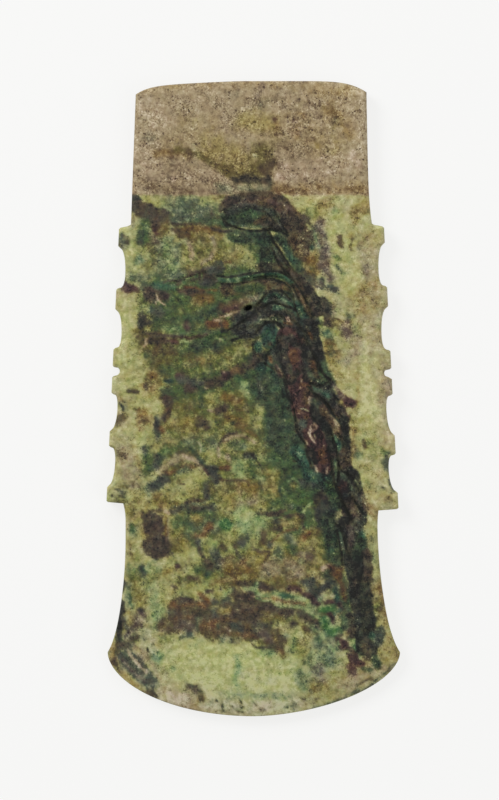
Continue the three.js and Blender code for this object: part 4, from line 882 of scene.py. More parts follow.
    ("slate", 4, 0.95, 19.4, 92.4, 22.4, 93.6, 24, 96), ("verdigris", 1.4, 0.6, 18.4, 92, 22.6, 94.4),
    ("black", 0.7, 1, 17, 90.6, 19, 91.5, 20.6, 91.3, 22.6, 90.2),
    ("soot", 2.6, 0.75, 24.4, 96, 26.6, 99, 27.4, 103), ("mauve", 1.6, 0.6, 25, 97.6, 27, 99),
    ("mauve", 1, 0.8, 23.6, 91, 25.6, 93, 27, 95), ("mustard", 1.4, 0.8, 26.3, 96.3),
    ("maroon", 2, 0.95, 28, 96.2, 29.6, 96.8), ("sage", 1.7, 0.95, 18.2, 95.6, 19.8, 97.4),
    ("soot", 2.8, 0.95, 20.6, 101.6, 22.6, 105.4, 23.6, 110),
    ("brown", 3.6, 1, 21.4, 98.4, 23.6, 101, 25.2, 104.2),
    ("sand", 1.6, 0.7, 21.4, 97.8, 24, 101, 25.4, 104.6),
    ("black", 0.7, 1, 16.4, 91.6, 18, 93.6, 20, 95, 21.8, 96.6, 24, 99.8, 26.2, 102.4, 26.9, 105),
    ("soot", 2, 0.95, 27.4, 101, 28, 107, 28, 112), ("teal", 2, 0.9, 24.2, 107, 27.2, 113),
    ("verdigris", 1, 0.7, 24.4, 107.2, 27, 112.4),
    ("black", 0.6, 1, 23.2, 104.6, 24, 108, 25.2, 111.2, 26, 113.8),
    ("black", 0.6, 0.9, 25.4, 105.6, 28, 112), ("umber", 3.4, 0.95, 27.4, 111.6, 27.6, 115.4),
    ("sage", 1.3, 1, 24.4, 113.6, 25.1, 120.8), ("celadon", 0.6, 0.5, 24.5, 114, 24.9, 119),
    ("soot", 7, 0.8, 28.4, 119, 31, 130), ("sage", 2.4, 0.95, 26.4, 117.8, 27, 119.2),
    ("maroon", 2.6, 1, 26.6, 120.8, 27, 122.8), ("rust", 0.7, 0.9, 25.6, 121.6, 26, 123),
    ("slate", 2, 0.85, 27.4, 124, 29, 126.4), ("sage", 0.7, 0.8, 28.6, 119.6, 29.4, 122.4),
    ("chalk", 0.4, 0.7, 30.4, 119.4, 31.2, 120.6), ("umber", 3.6, 0.95, 28.6, 126.4, 30.8, 130),
    ("mauve", 1.2, 0.5, 29, 127, 31, 131), ("slate", 2.6, 0.7, 30.6, 132, 31.6, 134),
    ("brown", 1.2, 0.7, 32.6, 124, 33.6, 129), ("fern", 2.4, 0.9, 22.6, 121, 24, 123.6),
    ("celadon", 0.5, 0.7, 22.8, 125.6, 25.4, 124.2),
    ("black", 0.7, 1, 23.4, 113, 23.6, 117, 24, 120, 25.5, 123, 26.6, 126, 29.4, 132),
    ("black", 0.5, 0.95, 25.3, 113.4, 25.7, 117, 25.4, 120.4),
    ("black", 0.6, 0.95, 26.2, 116.6, 28, 117.6, 30.4, 120, 32, 123.4),
    ("black", 0.6, 0.85, 29.6, 124.6, 31, 127, 33, 129.6), ("black", 0.9, 0.95, 30.5, 132.7),
    # the tail that runs down to the ear
    # the thin sage line on its ridge is a painted highlight, the black lines beside it partly painted shade
    ("leaf", 4.6, 0.75, 22.4, 131, 23.4, 137, 25.4, 143), ("soot", 5.4, 0.9, 27.4, 133, 29.6, 144),
    ("soot", 6.6, 0.95, 31, 146, 34.2, 169.6), ("leaf", 4.4, 0.85, 32, 137.6, 31.6, 141.6),
    ("verdigris", 2, 0.6, 32.6, 136), ("sage", 1.3, 0.95, 25.9, 135, 26.8, 141),
    ("mauve", 2, 0.6, 29, 134, 29.4, 138.6),
    ("black", 0.7, 0.95, 24.6, 132.8, 26, 133.8, 27.2, 137, 27.8, 140, 29, 143),
    ("black", 0.6, 0.9, 25, 134.6, 25.4, 138, 26.4, 141.4, 26.8, 145),
    ("umber", 2.8, 0.85, 34, 141.6, 34.4, 149), ("brown", 1.3, 0.6, 30.6, 148, 30.4, 151),
    ("umber", 2, 0.7, 29, 160, 29.6, 166), ("umber", 3, 0.7, 33.6, 170, 34.4, 172.4),
    ("black", 2, 0.5, 31.6, 147, 33, 156, 33.6, 165), ("teal", 2.4, 0.9, 35.7, 166.3),
    ("slate", 2.6, 0.85, 38, 164.6, 37.4, 168), ("leaf", 2.6, 0.8, 36.4, 173, 37.2, 175),
]
# %% [markdown]
# ## Veils
# Over the stains lie wide thin veils, where earth and copper have settled into the polish and darkened
# everything under them a little, and places that were rubbed and came out lighter. A veil only adds to
# the tone or the warmth.

# %% Veils
# (change of tone, change of warmth, width, softness, x, depth, x, depth, ...)
VEILS = [
    (0.09, 0.06, 40, 9, -3, 44, -4, 80, -3, 122), (0.03, 0.1, 16, 6, -24, 46, -24, 70, -26, 90),
    (0.05, 0, 10, 5, -26, 20, -12, 22, -8, 26), (0.05, 0, 8, 4, -30, 28, -18, 31),
    (0.08, 0, 10, 5, 10, 18, 12, 24, 18, 24), (0.07, 0, 8, 4, -18, 38, -15, 46, -4, 50),
    (0.1, 0, 9, 4, -32, 50, -32, 62), (0.12, 0, 9, 4, -26, 46, -22, 47), (0.06, 0, 8, 4, -38, 40, -33, 42),
    (0.08, 0, 6, 3, 32, 46), (0.08, 0, 6, 3, -33, 94, -38, 95), (0.1, 0, 9, 4, 7, 50, 13, 58, 6, 60),
    (0.16, 0, 8, 4, -31.5, 78, -31, 86), (0.11, 0, 8, 4, -5, 77, -4, 82),
    (0.2, 0, 9, 4, 16, 74, 14, 84, 18, 92, 20, 104, 24, 114, 25, 126), (0.09, 0, 9, 4, -12, 93, -10, 102),
    (0.05, 0, 8, 4, -24, 102, -24, 108), (0.09, 0, 8, 4, -25, 121, -24, 124),
    (0.07, 0, 9, 4, -37, 120, -37, 146), (0.1, 0, 8, 4, 20, 120, 23.6, 133),
    (0.07, 0, 8, 4, 24, 140, 25, 150), (0.12, 0, 8, 4, 33, 136, 32, 150, 31, 164),
    (0.09, 0, 6, 3, 38, 143, 39, 157), (0.07, 0, 8, 4, -24, 142, -18, 150, -6, 151),
    (0.08, 0, 8, 4, 10, 152, 12, 160, 20, 158), (0.07, 0, 8, 4, 10, 170, 13, 174),
    (0.1, 0, 8, 4, -37, 164, -32, 166), (-0.08, 0, 7, 4, -38, 157), (-0.06, 0, 6, 3, 33, 82),
    (-0.04, 0, 8, 4, 37, 60, 38, 78), (-0.08, 0, 8, 4, 28, 188, 36, 180),
    (-0.1, 0, 8, 4, -36, 180, -28, 187), (-0.07, 0, 8, 4, 31, 2, 33, 20),
    (-0.05, 0, 7, 4, -26, 182, -10, 180), (0.07, 0, 7, 4, -30, 108, -32, 118),
    (0.07, 0, 8, 4, -31, 130, -26, 138), (0.07, 0, 6, 3, 10, 136, 10, 138),
    (-0.07, 0, 7, 4, -3, 122, 3, 124), (-0.07, 0, 7, 4, -4, 132, -3, 137),
    (0.1, 0, 9, 4, -35, 144, -33, 158, -36, 166), (0.06, 0, 8, 4, 24, 66, 25, 78), (0.06, 0, 7, 4, -10, 10),
    (0.05, 0, 8, 4, 12, 8, 26, 10), (-0.08, 0, 7, 3, -4, 31, 4, 32), (0.06, 0, 7, 4, -24, 24, -31, 31),
    (-0.06, 0, 6, 3, 18, 3, 32, 3), (0.06, 0, 7, 4, -18, 60, 8, 60), (0.07, 0, 7, 4, 10, 86, 10, 90),
    (0.06, 0, 7, 4, -24, 132, -22, 137), (-0.06, 0, 6, 3, 39, 148, 40, 160),
    (0.06, 0, 6, 3, 33, 106, 37, 110), (-0.07, 0, 6, 3, 27, 87), (0.08, 0, 7, 4, -10, 74),
    (0.08, 0, 8, 4, -2, 80, 8, 81), (-0.07, 0, 6, 3, 38, 44, 38, 49), (-0.06, 0, 6, 3, 39, 99, 39, 105),
    (-0.06, 0, 6, 3, 35, 90, 33, 96), (-0.05, 0, 7, 4, -24, 52), (-0.06, 0, 14, 4, -12, 188, 8, 188),
    (0, -0.06, 18, 6, -16, 50, 18, 52), (0.07, 0, 10, 4, -20, 148, 20, 148),
    (0.04, 0, 20, 6, -20, 159, 12, 160), (0.08, 0, 8, 4, 24, 150, 26, 166), (0.05, 0, 7, 4, 4, 172),
    (-0.04, -0.2, 20, 6, -18, 175, -4, 177, 14, 178), (0.06, 0, 7, 4, 12, 116, 20, 126, 22, 146),
]


# %% Laying the stains
STRAY = 1.5  # how far a ragged edge can stray from its line
RAGGED_SHARE = 0.35  # how ragged a narrow stain may be, as a share of its width
BUTT_LINE = 34.3  # depth of the line that the haft left


def lay(stains, x, d, layers, ragged, grain, softness=1.0, breaking=0.5, crust=0.0):
    """Lay each stain in turn: mask = smooth step of (width / 2 - distance + ragged) over its soft edge.
    Inside it the grain decides, by the share `breaking`, which part of the surface takes the colour."""
    for pigment, width, cover, *line in stains:
        *values, soft = PIGMENT[pigment]
        soft = min(soft * softness, 0.6 * width)
        line = np.reshape(line, (-1, 2))
        low, high = line.min(axis=0), line.max(axis=0)
        reach = width / 2 + soft + STRAY
        near = (x > low[0] - reach) & (x < high[0] + reach) & (d > low[1] - reach) & (d < high[1] + reach)
        wander = ragged[near] * min(1.0, RAGGED_SHARE * width)
        edge = width / 2 - distance_to(line, x[near], d[near]) + wander
        broken = smooth(-0.35, 0.35, 1.2 * (2 * cover - 1) + grain[near])
        mask = smooth(-soft, soft, edge) * mix(cover, broken, breaking)
        for layer, value in zip(layers, values + [crust]):
            layer[near] += (value - layer[near]) * mask


def paint(x, d):
    """Tone, warmth, yellowness, share of crust and share of butt at points (x, depth) of the upper face."""
    wx = x + 0.9 * cloud(x, d, 5.0, 3) + 0.5 * cloud(x, d, 1.6, 4, 3, 0.7)
    wd = d + 0.9 * cloud(x, d, 5.0, 5) + 0.5 * cloud(x, d, 1.6, 6, 3, 0.7)
    ragged = 2.0 * cloud(x, d, 2.6, 7, 4, 0.8)
    grain = 1.6 * cloud(x, d, 1.9, 14, 4, 0.8)
    layers = [
        0.12 + 0.06 * cloud(x, d, 7.0, 8) + 0.05 * cloud(x, d, 1.5, 15),
        0.1 + 0.35 * cloud(x, d, 6.0, 9),
        0.35 + 0.3 * cloud(x, d, 4.0, 10),
        np.zeros(x.shape),
    ]
    lay(CLOUDS, wx, wd, layers, ragged, grain, 2.2, 0.3)
    half_x, half_d = x + 0.6 * (wx - x), d + 0.6 * (wd - d)
    for stains in (UPPER_STAINS, MIDDLE_STAINS, LOWER_STAINS):
        lay(stains, half_x, half_d, layers, 0.8 * ragged, grain, 1.3, 0.35)
    on_butt = [np.full(x.shape, value) for value in (0.25, 0.85, -0.35, 0.0)]
    on_butt[0] += 0.07 * cloud(x, d, 4.0, 16, 3)
    on_butt[2] += 0.5 * cloud(x, d, 6.0, 17, 3)
    lay(BUTT_STAINS, wx, wd, on_butt, ragged, grain, 2.0, 0.4)
    on_butt[1] += 0.18
    line = BUTT_LINE + 0.5 * cloud(x, d, 3.0, 12, 3) + 0.25 * noise(x, d, 0.8, 13)
    butt = smooth(0.5, -0.5, d - line)
    layers = [mix(layer, there, butt) for layer, there in zip(layers, on_butt)]
    fine_x, fine_d = x + 0.35 * (wx - x), d + 0.35 * (wd - d)
    lay(CRUST_STAINS, fine_x, fine_d, layers, 0.35 * ragged, grain, 0.8, 0.35, 1.0)
    for tone, warmth, width, softness, *line in VEILS:
        line = np.reshape(line, (-1, 2))
        veil = smooth(-softness, softness, width / 2 - distance_to(line, wx, wd) + 2 * ragged)
        layers[0] += tone * veil * smooth(1.0, 0.6, layers[0])
        layers[1] += warmth * veil
    return (*layers, butt)


MARKS = BUTT_STAINS + CLOUDS + UPPER_STAINS + MIDDLE_STAINS + LOWER_STAINS + CRUST_STAINS
print(len(MARKS), "stains with", len(PIGMENT), "pigments")

# %% [markdown]
# ## Relief of the crust
# The crust stands nearly a millimetre above the jade at most, and the cloth that lay on it has left long
# creases that curl round a swelling like the folds of a sleeve. Ridges are laid along smooth curves with
# a lens-shaped section that thins out at both ends, as on the solid. The black lines between the plates
# are open cracks, so the same lines that are painted black are sunk as grooves.
# Their black is partly painted shade, standing in for the shadow inside the cracks and creases.

# %% Ridges and grooves
def curve_through(points, step=0.8):
    """A smooth line through the points: between two of them, the cubic that follows the ones beyond."""
    p = np.array(points, float)
    p = np.vstack([2 * p[0] - p[1], p, 2 * p[-1] - p[-2]])
    count = max(2, int(np.hypot(*np.diff(p[1:-1], axis=0).T).sum() / step / (len(p) - 3)) + 1)
    t = np.linspace(0, 1, count, endpoint=False)[:, None]
    spans = []
    for a, b, c, e in zip(p[:-3], p[1:-2], p[2:-1], p[3:]):
        square, cube = 2 * a - 5 * b + 4 * c - e, 3 * b - a - 3 * c + e
        spans.append(b + 0.5 * ((c - a) * t + square * t**2 + cube * t**3))
    return np.vstack(spans + [p[-2:-1]])


def along(line, x, d):
    """Distance to the line, and the share of its length at the nearest point."""
    steps = np.concatenate([[0], np.cumsum(np.hypot(*np.diff(line, axis=0).T))])
    best, share = np.full(x.shape, np.inf), np.zeros(x.shape)
    for i, ((ax, ad), (bx, bd)) in enumerate(zip(line[:-1], line[1:])):
        t = ((x - ax) * (bx - ax) + (d - ad) * (bd - ad)) / ((bx - ax) ** 2 + (bd - ad) ** 2)
        t = np.clip(t, 0, 1)
        gap = np.hypot(x - ax - t * (bx - ax), d - ad - t * (bd - ad))
        nearer = gap < best
        best[nearer] = gap[nearer]
        share[nearer] = ((steps[i] + t * (steps[i + 1] - steps[i])) / steps[-1])[nearer]
    return best, share


# name: (width, height, points along it), in millimetres
RIDGES = {
    "leaf": (7, 0.5, [(-9.2, 40.6), (-4, 40.0), (2, 40.6), (9.2, 44.6)]),
    "long_crease": (2, 0.9, [(5.3, 45.2), (9.2, 52), (12.5, 59), (15, 66), (18, 72.5)]),
    "upper_fold": (2, 1.0, [(-11.6, 60.4), (-2, 58.2), (7.5, 57.8), (12.6, 61.5), (14.2, 65.5)]),
    "middle_fold": (2.6, 0.9, [(-0.4, 67.6), (3, 64.6), (8, 63.2), (12, 66), (13.2, 69)]),
    "lower_fold": (2.4, 0.8, [(-6.4, 74.4), (0.8, 72.2), (5, 69.8), (10.6, 71.2)]),
    "hem_fold": (2, 0.6, [(-9.4, 77.8), (0.8, 76.2), (4.5, 73.6), (7.8, 73.4)]),
    "swelling": (5, 0.7, [(1.5, 83), (5, 78.5), (8.5, 74.5)]),
    "left_fold": (2, 0.5, [(-26.5, 61), (-20, 58), (-10.5, 56)]),
    "left_crease": (2, 0.5, [(-31, 77), (-20, 76.4), (-10, 75.4), (-4.6, 73)]),
    "core": (9.5, 0.6, [(9, 73.2), (12, 82), (14, 94), (18.5, 108), (22, 118)]),
    "core_shoulder": (3.4, 1.0, [(16.5, 80), (19.5, 88), (23.5, 96), (26, 103), (27.5, 114)]),
    "strip": (2.2, 0.9, [(24, 106), (26.4, 113), (28, 121)]),
    "lower_crust": (5.4, 0.6, [(27, 117), (29.5, 126), (31.5, 133)]),
    "tail": (5, 0.4, [(29.5, 130), (30.5, 143), (33, 156), (34.8, 168), (35.4, 173)]),
}
RISE_LIMIT = 0.88  # no part of the crust stands higher than this above the face
PLATE_RISE, ROUGH_RISE = 0.12, 0.16  # the crust between its ridges, and its grain
# narrow black and soot lines are cracks, and their dark is partly painted shade in those cracks
GROOVE_PIGMENTS = ("black", "soot")  # lines of these are open cracks, where they are narrow
GROOVE_WIDTH, GROOVE_DEEP = 1.1, 0.42


def ridge(line, width, height, x, d):
    """height * swell * sqrt(1 - (distance / half width)^2), where swell is a sine that thins both ends."""
    gap, share = along(curve_through(line), x, d)
    swell = np.maximum(0.12, np.sin(np.pi * mix(0.03, 0.97, share)) ** 0.6)
    return height * swell * np.sqrt(np.clip(1 - (gap / (width / 2 * swell)) ** 2, 0, None))


def relief(x, d, tone, butt, plates):
    """Height of the crust and of its roughness over the face, less the grooves between its plates."""
    crust = PLATE_RISE * plates
    for width, height, line in RIDGES.values():
        crust = np.maximum(crust, ridge(line, width, height, x, d))
    rough = plates + 0.5 * (1 - plates) * smooth(0.45, 0.8, tone) * (1 - butt)
    height = crust * (0.9 + 0.25 * cloud(x, d, 2.0, 31))
    height += ROUGH_RISE * rough * (0.5 + cloud(x, d, 1.8, 32, 4, 0.7))
    height += 0.05 * cloud(x, d, 9.0, 33) + 0.035 * cloud(x, d, 2.6, 34, 4) * (1 - butt)
    for pigment, width, cover, *line in CRUST_STAINS:
        if pigment in GROOVE_PIGMENTS and width <= GROOVE_WIDTH and len(line) > 2:
            gap = distance_to(np.reshape(line, (-1, 2)), x, d)
            height -= GROOVE_DEEP * cover * smooth(0.3 + 0.5 * width, 0.0, gap)
    return np.minimum(height, RISE_LIMIT)


PIT = (-1.5, 68.0)
PIT_DEEP, PIT_LONG, PIT_WIDE, PIT_TURN = 2.6, 1.45, 0.9, 0.35  # the turn is an angle in radians


def pit(x, d):
    """A steep oval funnel, turned a little: deep * smooth step of the oval distance from its middle."""
    dx, dd = x - PIT[0], d - PIT[1]
    along_it = dx * math.cos(PIT_TURN) - dd * math.sin(PIT_TURN)
    across = dx * math.sin(PIT_TURN) + dd * math.cos(PIT_TURN)
    return PIT_DEEP * smooth(1.15, 0.45, np.hypot(along_it / PIT_LONG, across / PIT_WIDE))


painted = paint(face_x.ravel(), face_d.ravel())
tone, warmth, yellow, crust, butt = (layer.reshape(face_x.shape) for layer in painted)
height = relief(face_x, face_d, tone, butt, crust)
fade = smooth(0.0, 1.4, from_sides) * smooth(0.0, 3.0, from_edge)
height = np.where(height > 0, height * fade, height * np.minimum(fade, 1)) - pit(face_x, face_d)
# The pit is painted darker the deeper it goes: painted shade in the hole.
tone = np.maximum(tone, smooth(0.3, 1.2, pit(face_x, face_d)))
print("the crust covers", round(float(crust.mean()) * 100), "% of the face")
print("it rises", round(float(height.max()), 2), "mm")

# %% [markdown]
# ## The back
# Nothing shows of the side that the blade lies on, so it is kept plain: flat where it rests, the same
# rounded arris and bevel, and the same jade with a few soft clouds of green and brown. It has no crust,
# because that grew upwards.

# %% The back and its colours
back_half = half_thickness(back_x, back_d)[0]


def paint_back(x, d):
    """Tone, warmth, yellowness and butt of the back: clouds of green and brown over pale jade."""
    green = smooth(0.0, 0.5, cloud(x, d, 22, 41, 5, 0.6))
    brown = smooth(0.18, 0.5, cloud(x, d, 13, 42, 5, 0.65))
    layers = [
        0.15 + 0.28 * green + 0.34 * brown + 0.06 * cloud(x, d, 4, 43),
        0.1 - 0.6 * green + 0.7 * brown + 0.3 * cloud(x, d, 6, 44),
        0.4 - 0.3 * brown + 0.3 * cloud(x, d, 5, 47),
    ]
    butt = smooth(0.5, -0.5, d - BUTT_LINE - 0.5 * cloud(x, d, 3, 45))
    on_butt = (0.25 + 0.05 * cloud(x, d, 5, 46), 0.5, -0.4)
    return (*(mix(layer, value, butt) for layer, value in zip(layers, on_butt)), butt)


back_tone, back_warmth, back_yellow, back_butt = paint_back(back_x, back_d)
print("back", back_x.shape, "mean tone", round(float(back_tone.mean()), 2))

# %% [markdown]
# ## One closed mesh
# Face, back, side walls and the two end walls become one skin. The side walls join the rims row by row,
# with one line of points half way. The end walls join rows of different length: each short edge takes the
# point across from it as its third corner, which closes like a zip. Colours ride along as values on the
# points.

# %% Join the sheets
def grid_quads(index, flip=False):
    """Four corners of each cell of an index grid, ordered so that it faces up, or down where flipped."""
    quads = np.stack([index[:-1, :-1], index[1:, :-1], index[1:, 1:], index[:-1, 1:]], axis=-1)
    quads = quads.reshape(-1, 4)
    return quads[:, ::-1] if flip else quads


def zip_rows(a, ua, b, ub, flip=False):
    """Triangles between two rows of points: each edge of one row meets the other's point at its middle."""
    middle_a, middle_b = (ua[1:] + ua[:-1]) / 2, (ub[1:] + ub[:-1]) / 2
    to_b = b[np.searchsorted(middle_b, middle_a, side="left")]
    to_a = a[np.searchsorted(middle_a, middle_b, side="right")]
    sides = [np.column_stack([a[:-1], a[1:], to_b]), np.column_stack([b[1:], b[:-1], to_a])]
    triangles = np.vstack(sides)
    return triangles[:, ::-1] if flip else triangles


CLEARANCE = 0.02  # kept free below the top of the solid
face_z = np.minimum(MIDDLE_PLANE + face_half + height, TOP - CLEARANCE)
back_z = np.clip(MIDDLE_PLANE - back_half, BOTTOM, None)
wall_x, wall_d = (g[:, [0, -1]] for g in (face_x, face_d))
wall_z = MIDDLE_PLANE + 0.25 * cloud(wall_x, wall_d, 5, 51)
sheets = [(face_x, face_d, face_z), (back_x, back_d, back_z), (wall_x, wall_d, wall_z)]
sizes = [sheet[0].size for sheet in sheets]
face_at, back_at, wall_at = (
    np.arange(size).reshape(sheet[0].shape) + start
    for size, sheet, start in zip(sizes, sheets, np.cumsum([0] + sizes[:-1]))
)
quads = np.vstack([
    grid_quads(face_at),
    grid_quads(back_at, flip=True),
    grid_quads(np.column_stack([back_at[:, 0], wall_at[:, 0], face_at[:, 0]])),
    grid_quads(np.column_stack([face_at[:, -1], wall_at[:, -1], back_at[:, -1]])),
])
ends = []
for row, flip in ((0, False), (-1, True)):
    ends.append(zip_rows(back_at[row], back_u[row], face_at[row], face_u[row], not flip))
    corner = np.array([
        [face_at[row, 0], wall_at[row, 0], back_at[row, 0]],
        [back_at[row, -1], wall_at[row, -1], face_at[row, -1]],
    ])
    ends.append(corner[:, ::-1] if flip else corner)
triangles = np.vstack(ends)
columns = [(x.ravel(), LENGTH / 2 - d.ravel(), z.ravel()) for x, d, z in sheets]
points = np.vstack([np.column_stack(column) for column in columns])
print(len(points), "points,", 2 * len(quads) + len(triangles), "triangles")

# %% Put it into Blender
mesh = bpy.data.meshes.new("jade_blade")
mesh.from_pydata((points * MM).tolist(), [], quads.tolist() + triangles.tolist())
mesh.polygons.foreach_set("use_smooth", np.ones(len(mesh.polygons), bool))
wall_tone = 0.3 + 0.12 * cloud(wall_x, wall_d, 6, 52)
wall_butt = smooth(0.5, -0.5, wall_d - BUTT_LINE)
wall_warmth = mix(0.2 + 0.4 * cloud(wall_x, wall_d, 9, 53), 0.5, wall_butt)
wall_yellow = mix(0.2 + 0.4 * cloud(wall_x, wall_d, 9, 54), -0.4, wall_butt)
for name, values in {
    "tone": (tone, back_tone, wall_tone),
    "warmth": (warmth, back_warmth, wall_warmth),
    "yellow": (yellow, back_yellow, wall_yellow),
    "butt": (butt, back_butt, wall_butt),
    "crust": (crust, 0 * back_x, 0 * wall_x),
}.items():
    attribute = mesh.attributes.new(name, "FLOAT", "POINT")
    attribute.data.foreach_set("value", np.concatenate([v.ravel() for v in values]).astype(np.float32))
mesh.validate()
blade = bpy.data.objects.new("jade_blade", mesh)
bpy.context.scene.collection.objects.link(blade)
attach(blade, "root")
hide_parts("axe_head")
print("blade in place,", len(mesh.polygons), "faces")

# %% [markdown]
# ## From three numbers to a colour
# `tone`, `warmth` and `yellow` are only a map of where the stains are. A node group turns them into
# colour with four ramps from pale to black, one for each corner of a square: grey copper green, glowing
# leaf green, glowing ochre and grey iron brown. Warmth and yellow then blend between the corners. Copper
# and iron stains on real jade stay within these four families, so every in-between looks right.

# %% Helpers for nodes
def group(name, inputs, outputs):
    """A new shader node group: each input is name: value (None for a place), each output is name: type."""
    tree = bpy.data.node_groups.new(name, "ShaderNodeTree")
    for socket, value in inputs.items():
        kind = "NodeSocketVector" if value is None else "NodeSocketFloat"
        made = tree.interface.new_socket(socket, in_out="INPUT", socket_type=kind)
        if value is not None:
            made.default_value = value
    for socket, kind in outputs.items():
        tree.interface.new_socket(socket, in_out="OUTPUT", socket_type=kind)
    return tree, tree.nodes.new("NodeGroupInput"), tree.nodes.new("NodeGroupOutput")


def node(tree, kind, settings=None, **sockets):
    """Adds a node: settings are its properties, and sockets its inputs, by name or as _ and a number. Each
    input takes a plain value or another node's output."""
    made = tree.nodes.new(kind)
    for key, value in (settings or {}).items():
        setattr(made, key, value)
    for key, value in sockets.items():
        target = made.inputs[int(key[1:]) if key[0] == "_" else key]
        if isinstance(value, bpy.types.NodeSocket):
            tree.links.new(value, target)
        else:
            target.default_value = value
    return made


def maths(tree, operation, a, b=0.0, c=0.0, clamp=False):
    """One sum on values: the output of a Math node."""
    settings = {"operation": operation, "use_clamp": clamp}
    return node(tree, "ShaderNodeMath", settings, _0=a, _1=b, _2=c).outputs[0]


def times(tree, a, b, plus=0.0):
    """a * b + plus."""
    return maths(tree, "MULTIPLY_ADD", a, b, plus)


def step_between(tree, value, low, high, to_low=0.0, to_high=1.0):
    """A smooth step from low to high, as a Map Range node."""
    settings = {"interpolation_type": "SMOOTHSTEP"}
    made = node(tree, "ShaderNodeMapRange", settings, _0=value, _1=low, _2=high, _3=to_low, _4=to_high)
    return made.outputs[0]


def linear(colour):
    """Screen values from 0 to 255 as the linear light that shaders use: ((c + 0.055) / 1.055) ^ 2.4."""
    return tuple(((c / 255 + 0.055) / 1.055) ** 2.4 if c > 10 else c / 3295 for c in colour)


print("node helpers ready")

# %% The stain colour group
RAMP_STOPS = (0.0, 0.1, 0.25, 0.5, 0.7, 0.85, 1.0)
COPPER = (
    (178, 192, 160), (155, 172, 138), (124, 150, 120), (56, 90, 76),
    (38, 70, 60), (26, 52, 48), (14, 26, 25),
)
LEAF = (
    (184, 197, 128), (160, 180, 102), (132, 160, 84), (66, 106, 42),
    (44, 82, 32), (32, 62, 26), (16, 30, 15),
)
OCHRE = (
    (200, 182, 130), (184, 160, 104), (166, 136, 72), (114, 82, 32),
    (90, 58, 26), (66, 42, 22), (32, 22, 14),
)
IRON = (
    (204, 186, 168), (180, 160, 142), (156, 134, 114), (100, 78, 68),
    (78, 55, 52), (56, 37, 38), (27, 19, 20),
)


def stain_ramp(tree, value, colours):
    """A colour ramp from pale to black at the shared stops."""
    made = node(tree, "ShaderNodeValToRGB", Fac=value)
    elements = made.color_ramp.elements
    while len(elements) < len(RAMP_STOPS):
        elements.new(0.5)
    for element, stop, colour in zip(elements, RAMP_STOPS, colours):
        element.position = stop
        element.color = (*linear(colour), 1.0)
    return made.outputs["Color"]


def blend(tree, share, a, b):
    """Mix of two colours by a share."""
    made = node(tree, "ShaderNodeMix", {"data_type": "RGBA"}, _0=share, _6=a, _7=b)
    return made.outputs[2]


stain_colour, given, result = group(
    "Stain colour", {"Tone": 0.3, "Warmth": 0.0, "Yellow": 0.0}, {"Color": "NodeSocketColor"}
)
copper, leaf, ochre, iron = (
    stain_ramp(stain_colour, given.outputs["Tone"], colours) for colours in (COPPER, LEAF, OCHRE, IRON)
)
to_warm, to_yellow = (
    maths(stain_colour, "MULTIPLY_ADD", given.outputs[name], 0.5, 0.5, clamp=True)
    for name in ("Warmth", "Yellow")
)
cool = blend(stain_colour, to_yellow, copper, leaf)
warm = blend(stain_colour, to_yellow, iron, ochre)
stain_colour.links.new(blend(stain_colour, to_warm, cool, warm), result.inputs["Color"])
print("stain colour group:", len(stain_colour.nodes), "nodes")

# %% [markdown]
# ## Mottle, pits and flecks
# Between the painted stains and the grain of the stone lie marks too small to lay by hand. Mottle is
# noise of several sizes that shifts the tone and the hue, so that every stain breaks up at its edge. Pits
# are the small dark holes of weathering: cells of a Voronoi pattern, of which only some are kept. Flecks
# are pale and use the same idea.

# %% Mottle group
def noise_at(tree, where, size, detail=3.0, rough=0.6, seed=0.0):
    """Noise of about a size in millimetres, from -1 to 1, moved by the seed to be unlike the rest."""
    moved = node(tree, "ShaderNodeVectorMath", {"operation": "ADD"}, _0=where, _1=(seed, 2 * seed, -seed))
    moved = moved.outputs[0]
    made = node(tree, "ShaderNodeTexNoise", Vector=moved, Scale=1 / size, Detail=detail, Roughness=rough)
    made = node(tree, "ShaderNodeMapRange", _0=made.outputs[0], _1=0.25, _2=0.75, _3=-1.0, _4=1.0)
    return made.outputs[0]


OUTPUTS = ("Broad", "Fine", "Warmth", "Yellow", "Vein", "Rough")
outputs = {name: "NodeSocketFloat" for name in OUTPUTS}
mottle, given, result = group("Stone mottle", {"Millimetres": None}, outputs)
where = given.outputs["Millimetres"]


def mottle_noise(size, detail=3.0, rough=0.6, seed=0.0):
    """Noise at the place the mottle group is given."""
    return noise_at(mottle, where, size, detail, rough, seed)


def veins(paths, width, places, low, high):
    """Thin dark lines where the noise `paths` crosses 0, but only where the other noise is high."""
    on_line = step_between(mottle, maths(mottle, "ABSOLUTE", paths), width, 0.0)
    return times(mottle, on_line, step_between(mottle, places, low, high))


patches = step_between(mottle, mottle_noise(2.4, 4.0, 0.6, 11.0), -0.6, 0.6, -1.0, 1.0)
broad = times(mottle, patches, 0.45, times(mottle, mottle_noise(1.4, 3.0, 0.65, 37.0), 0.7))
rough = step_between(mottle, mottle_noise(6.0, 4.0, 0.7, 71.0), -0.4, 0.4, 0.3, 1.5)
fine = times(mottle, mottle_noise(0.3, 1.0, 0.6, 83.0), 0.4)
fine = times(mottle, times(mottle, mottle_noise(0.6, 2.0, 0.8, 5.0), 0.8, fine), rough)
warm = times(mottle, mottle_noise(0.7, seed=29.0), 0.3)
warm = times(mottle, mottle_noise(3.0, 4.0, 0.7, 61.0), 0.8, warm)
glow = mottle_noise(2.2, 2.0, 0.55, 47.0)
long_veins = veins(mottle_noise(5.0, 4.0, 0.6, 91.0), 0.045, mottle_noise(5.0, seed=19.0), -0.05, 0.35)
short_veins = veins(mottle_noise(2.6, 3.0, 0.6, 53.0), 0.06, mottle_noise(3.0, seed=23.0), 0.15, 0.5)
vein = maths(mottle, "MAXIMUM", long_veins, short_veins)
